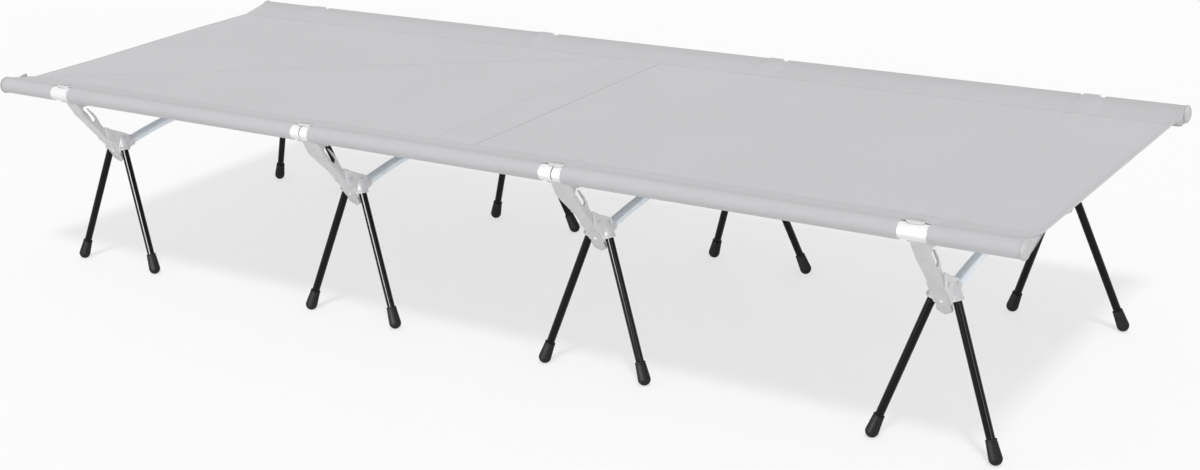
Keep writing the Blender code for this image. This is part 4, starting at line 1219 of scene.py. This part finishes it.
def cloth_material():
    """Give woven polyester: plain weave, uneven yarns, shade along its seams."""
    profile = sleeve_profile()
    seam = next(row for row, point in enumerate(profile) if point.x > SEAM_INSET) - 1
    seam_place = lengths_along(profile)[seam]
    material, tree, shader = new_material("woven_polyester")
    flat = tree.nodes.new("ShaderNodeUVMap")
    flat.uv_map = "cloth"
    flat = add_node(tree, "ShaderNodeSeparateXYZ", {"Vector": flat.outputs["UV"]})
    along, around = flat.outputs["X"], flat.outputs["Y"]
    place = tree.nodes.new("ShaderNodeTexCoord").outputs["Object"]
    spot = add_node(tree, "ShaderNodeSeparateXYZ", {"Vector": place})
    yarn = 2 * math.pi / YARN_PITCH
    warp, weft = (math_node(tree, "SINE", times(tree, way, yarn)) for way in (along, around))
    weave = times(tree, warp, weft, 0.5)
    slub = noise_node(tree, place, *SLUB_NOISE)
    add_bump(tree, shader, math_node(tree, "ADD", weave, slub), *WEAVE_RELIEF)
    shade = math_node(tree, "ADD", times(tree, noise_node(tree, place, *BROAD_NOISE), 0.6),
                      times(tree, noise_node(tree, place, *FINE_NOISE), 0.4))
    colour = ramp(tree, shade, 0.3, 0.7, CLOTH_DARK, CLOTH_LIGHT)
    far = math_node(tree, "GREATER_THAN", spot.outputs["Y"], 0.0)
    # painted shade: the far sleeve, from its seam out over the rail, is darkened
    on_sleeve = math_node(tree, "LESS_THAN", around, seam_place)
    colour = mixed(tree, times(tree, far, on_sleeve), colour, FAR_SLEEVE_PAINTED_SHADE, "MULTIPLY")
    # painted shade: the sleeve's round over the rail is darkened
    on_round = add_node(tree, "ShaderNodeMapRange", {
        "Value": around, "From Min": seam_place - ROUND_SHADE_START, "From Max": seam_place - ROUND_SHADE_END})
    colour = mixed(tree, on_round.outputs["Result"], colour, ROUND_PAINTED_SHADE, "MULTIPLY")
    # painted shade along the seams, hems, band and crease
    lines = seam_shade(tree, around, along, spot, far, seam_place)
    fill(tree, shader, {
        "Base Color": mixed(tree, lines, colour, PAINTED_SHADE_COLOUR), "Roughness": 0.86,
        "Sheen Weight": 0.03, "Sheen Roughness": 0.5, "Specular IOR Level": 0.25,
    })
    return material


def grained_material(name, surface, dark, light, roughness, metal, gloss, run):
    """Give a finish with an uneven tone and a fine grain, even or drawn out."""
    material, tree, shader = new_material(name)
    tone, limits, grain, relief = SURFACES[surface]
    place = tree.nodes.new("ShaderNodeTexCoord").outputs["Object"]
    drawn = add_node(tree, "ShaderNodeMapping", {"Vector": place, "Scale": run})
    add_bump(tree, shader, noise_node(tree, drawn.outputs["Vector"], *grain), *relief)
    colour = ramp(tree, noise_node(tree, place, *tone), *limits, dark, light)
    fill(tree, shader, {"Base Color": colour, "Roughness": roughness, "Metallic": metal,
                        "Specular IOR Level": gloss})
    return material


# Placing

def finished(mesh, material, other=None, takes_other=None):
    """Give a mesh its material, and another on the faces that a test takes."""
    mesh.materials.append(material)
    if other:
        mesh.materials.append(other)
        for face in mesh.polygons:
            face.material_index = int(takes_other(face.center))
    mesh.shade_smooth()
    mesh.set_sharp_from_angle(angle=SHARP_ANGLE)
    return mesh


def on_rivet(centre):
    """Tell whether a face of the pin's mesh lies on the tail's rivet."""
    return centre.z < -2 * PIN_HEAD_RADIUS


def on_spigot(centre):
    """Tell whether a face of a middle rail section lies on a spigot."""
    in_joint = abs(centre.x + JOINT_SHIFT) > INNER_STATION - JOINT_GAP
    return in_joint and math.hypot(centre.y, centre.z) < RAIL_BORE


def add_piece(name, mesh, matrix, body, replaced=None):
    """Add a finished piece, riding on a body and standing for its CAD node."""
    obj = add_object(name, mesh, matrix)
    bpy.context.view_layer.update()
    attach(obj, body)
    if replaced:
        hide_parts(replaced)


def side_matrix(station, far):
    """Place a piece modelled round the pivot of a near-side hub."""
    turn = Matrix.Rotation(math.pi if far else 0.0, 4, "Z")
    return Matrix.Translation((station, 0, PIVOT_Z)) @ turn @ Matrix.Translation((0, -PIVOT_Y, 0))


def dress():
    """Make every finished piece, put each hard piece on its body and make the two halves of the bed
    fabric, hiding the CAD fabric.
    """
    paint = {name: grained_material(name, *values) for name, values in FINISHES.items()}
    arms = [finished(make_arm_mesh(wide), paint["arm_plastic"]) for wide in (False, True)]
    hub = finished(make_hub_mesh(), paint["hub_plastic_painted_light"])
    pin = finished(make_pin_mesh(), paint["pin_metal"], paint["rivet_metal"], on_rivet)
    leg = finished(make_leg_mesh(), paint["leg_coating"])
    foot = finished(make_foot_mesh(), paint["foot_rubber"])
    bar = finished(make_crossbar_mesh(), paint["crossbar_metal"])
    middle = finished(make_middle_rail_mesh(), paint["rail_metal"], paint["spigot_metal"],
                      on_spigot)
    plug = finished(make_plug_mesh(), paint["plug_plastic"])
    ends = [finished(make_end_rail_mesh(shift), paint["rail_metal"])
            for shift in (JOINT_SHIFT, -JOINT_SHIFT)]
    for number, station in enumerate(STATIONS, start=1):
        add_piece(f"crossbar_tube_{number}", bar, Matrix.Translation((station, 0, 0)), "base",
                  f"crossbar_{number}")
    flip = Matrix.Rotation(math.pi, 4, "Z")
    for side, far in (("near", False), ("far", True)):
        lever = f"{side}_lever_1"
        rail = Matrix.Translation((0, RAIL_OFFSET if far else -RAIL_OFFSET, RAIL_HEIGHT))
        add_piece(f"{side}_tube_middle", middle, rail @ flip if far else rail, lever,
                  f"{side}_rail_middle")
        for place, matrix, end in (("left", rail @ flip, ends[far]),
                                   ("right", rail, ends[not far])):
            add_piece(f"{side}_tube_{place}", end, matrix, lever,
                      f"{side}_rail_{place}")
            add_piece(f"{side}_plug_{place}", plug, matrix, lever)
        for number, station in enumerate(STATIONS, start=1):
            seat = side_matrix(station, far)
            add_piece(f"{side}_moulded_hub_{number}", hub, seat, "base",
                      f"{side}_hub_{number}")
            lever = f"{side}_lever_{number}"
            add_piece(f"{side}_moulded_arm_{number}", arms[abs(station) == INNER_STATION], seat,
                      lever, f"{side}_arm_{number}")
            add_piece(f"{side}_pin_{number}", pin, seat, lever)
            for letter, end in (("a", -1), ("b", 1)):
                leg_side = -end if far else end
                matrix = seat @ leg_matrix(leg_side, foot_point(leg_side))
                tag = f"{number}{letter}"
                add_piece(f"{side}_leg_tube_{tag}", leg, matrix, "base",
                          f"{side}_leg_{tag}")
                add_piece(f"{side}_boot_{tag}", foot, matrix, "base",
                          f"{side}_foot_{tag}")
    cloth = [cloth_material(), paint["sewing_thread"]]
    width = lengths_along(sleeve_profile())[-1]
    for side, far in (("near", False), ("far", True)):
        sheet = make_bed_half(f"{side}_bed_half", far, cloth)
        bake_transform(sheet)
        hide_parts("bed_fabric")


# Stage

def show_white(tree, plain, kind, share, output):
    """Mix a share of plain white into what the camera and the reflections see."""
    white = add_node(tree, kind, {"Color": WHITE, "Strength": 1.0})
    path = tree.nodes.new("ShaderNodeLightPath")
    seen = math_node(tree, "MAXIMUM", path.outputs["Is Camera Ray"], path.outputs["Is Glossy Ray"])
    mix = add_node(tree, "ShaderNodeMixShader", {
        0: times(tree, seen, share), 1: plain.outputs[0], 2: white.outputs[0]})
    fill(tree, tree.nodes[output], {"Surface": mix.outputs[0]})


def make_floor():
    """Lay a plain white floor that keeps a light shadow of the cot."""
    bm = bmesh.new()
    bmesh.ops.create_grid(bm, x_segments=1, y_segments=1, size=FLOOR_SIZE)
    mesh = to_mesh(bm, "floor")
    material, tree, shader = new_material("floor_paint")
    fill(tree, shader, {"Base Color": FLOOR_COLOUR, "Roughness": 0.9, "Specular IOR Level": 0.0})
    show_white(tree, shader, "ShaderNodeEmission", FLOOR_WHITE, "Material Output")
    mesh.materials.append(material)
    add_object("floor", mesh)


def make_light():
    """Light the cot with a white surround, two soft lamps and one for reflections."""
    world = bpy.data.worlds.new("surround")
    bpy.context.scene.world = world
    world.use_nodes = True
    tree = world.node_tree
    surround = tree.nodes["Background"]
    fill(tree, surround, {"Color": WHITE, "Strength": SURROUND_STRENGTH})
    show_white(tree, surround, "ShaderNodeBackground", 1.0, "World Output")
    for direction, strength, width in LAMPS:
        lamp = bpy.data.lights.new("soft_lamp", "SUN")
        lamp.energy = strength
        lamp.angle = math.radians(width)
        obj = add_object("soft_lamp", lamp)
        obj.rotation_euler = direction.to_track_quat("-Z", "Y").to_euler()
    lamp = bpy.data.lights.new("gloss_lamp", "AREA")
    lamp.energy = GLOSS_POWER
    lamp.shape = "RECTANGLE"
    lamp.size = GLOSS_WIDTH
    lamp.size_y = GLOSS_HEIGHT
    obj = add_object("gloss_lamp", lamp)
    obj.location = GLOSS_PLACE
    obj.rotation_euler = (GLOSS_AIM - GLOSS_PLACE).to_track_quat("-Z", "Y").to_euler()
    obj.visible_diffuse = False
    obj.visible_camera = False


def make_camera():
    """Set the camera as the photograph was taken."""
    right, down, forward = Matrix.Rotation(CAMERA_TURN.length, 3, CAMERA_TURN)
    rotation = Matrix((right, -down, -forward)).transposed().to_4x4()
    data = bpy.data.cameras.new("camera")
    data.lens = CAMERA_LENS
    data.sensor_width = CAMERA_SENSOR
    data.clip_start = CAMERA_NEAR
    bpy.context.scene.camera = add_object(
        "camera", data, Matrix.Translation(CAMERA_PLACE) @ rotation)


make_camera()
make_light()
make_floor()
dress()
bpy.context.scene.view_settings.view_transform = "Standard"
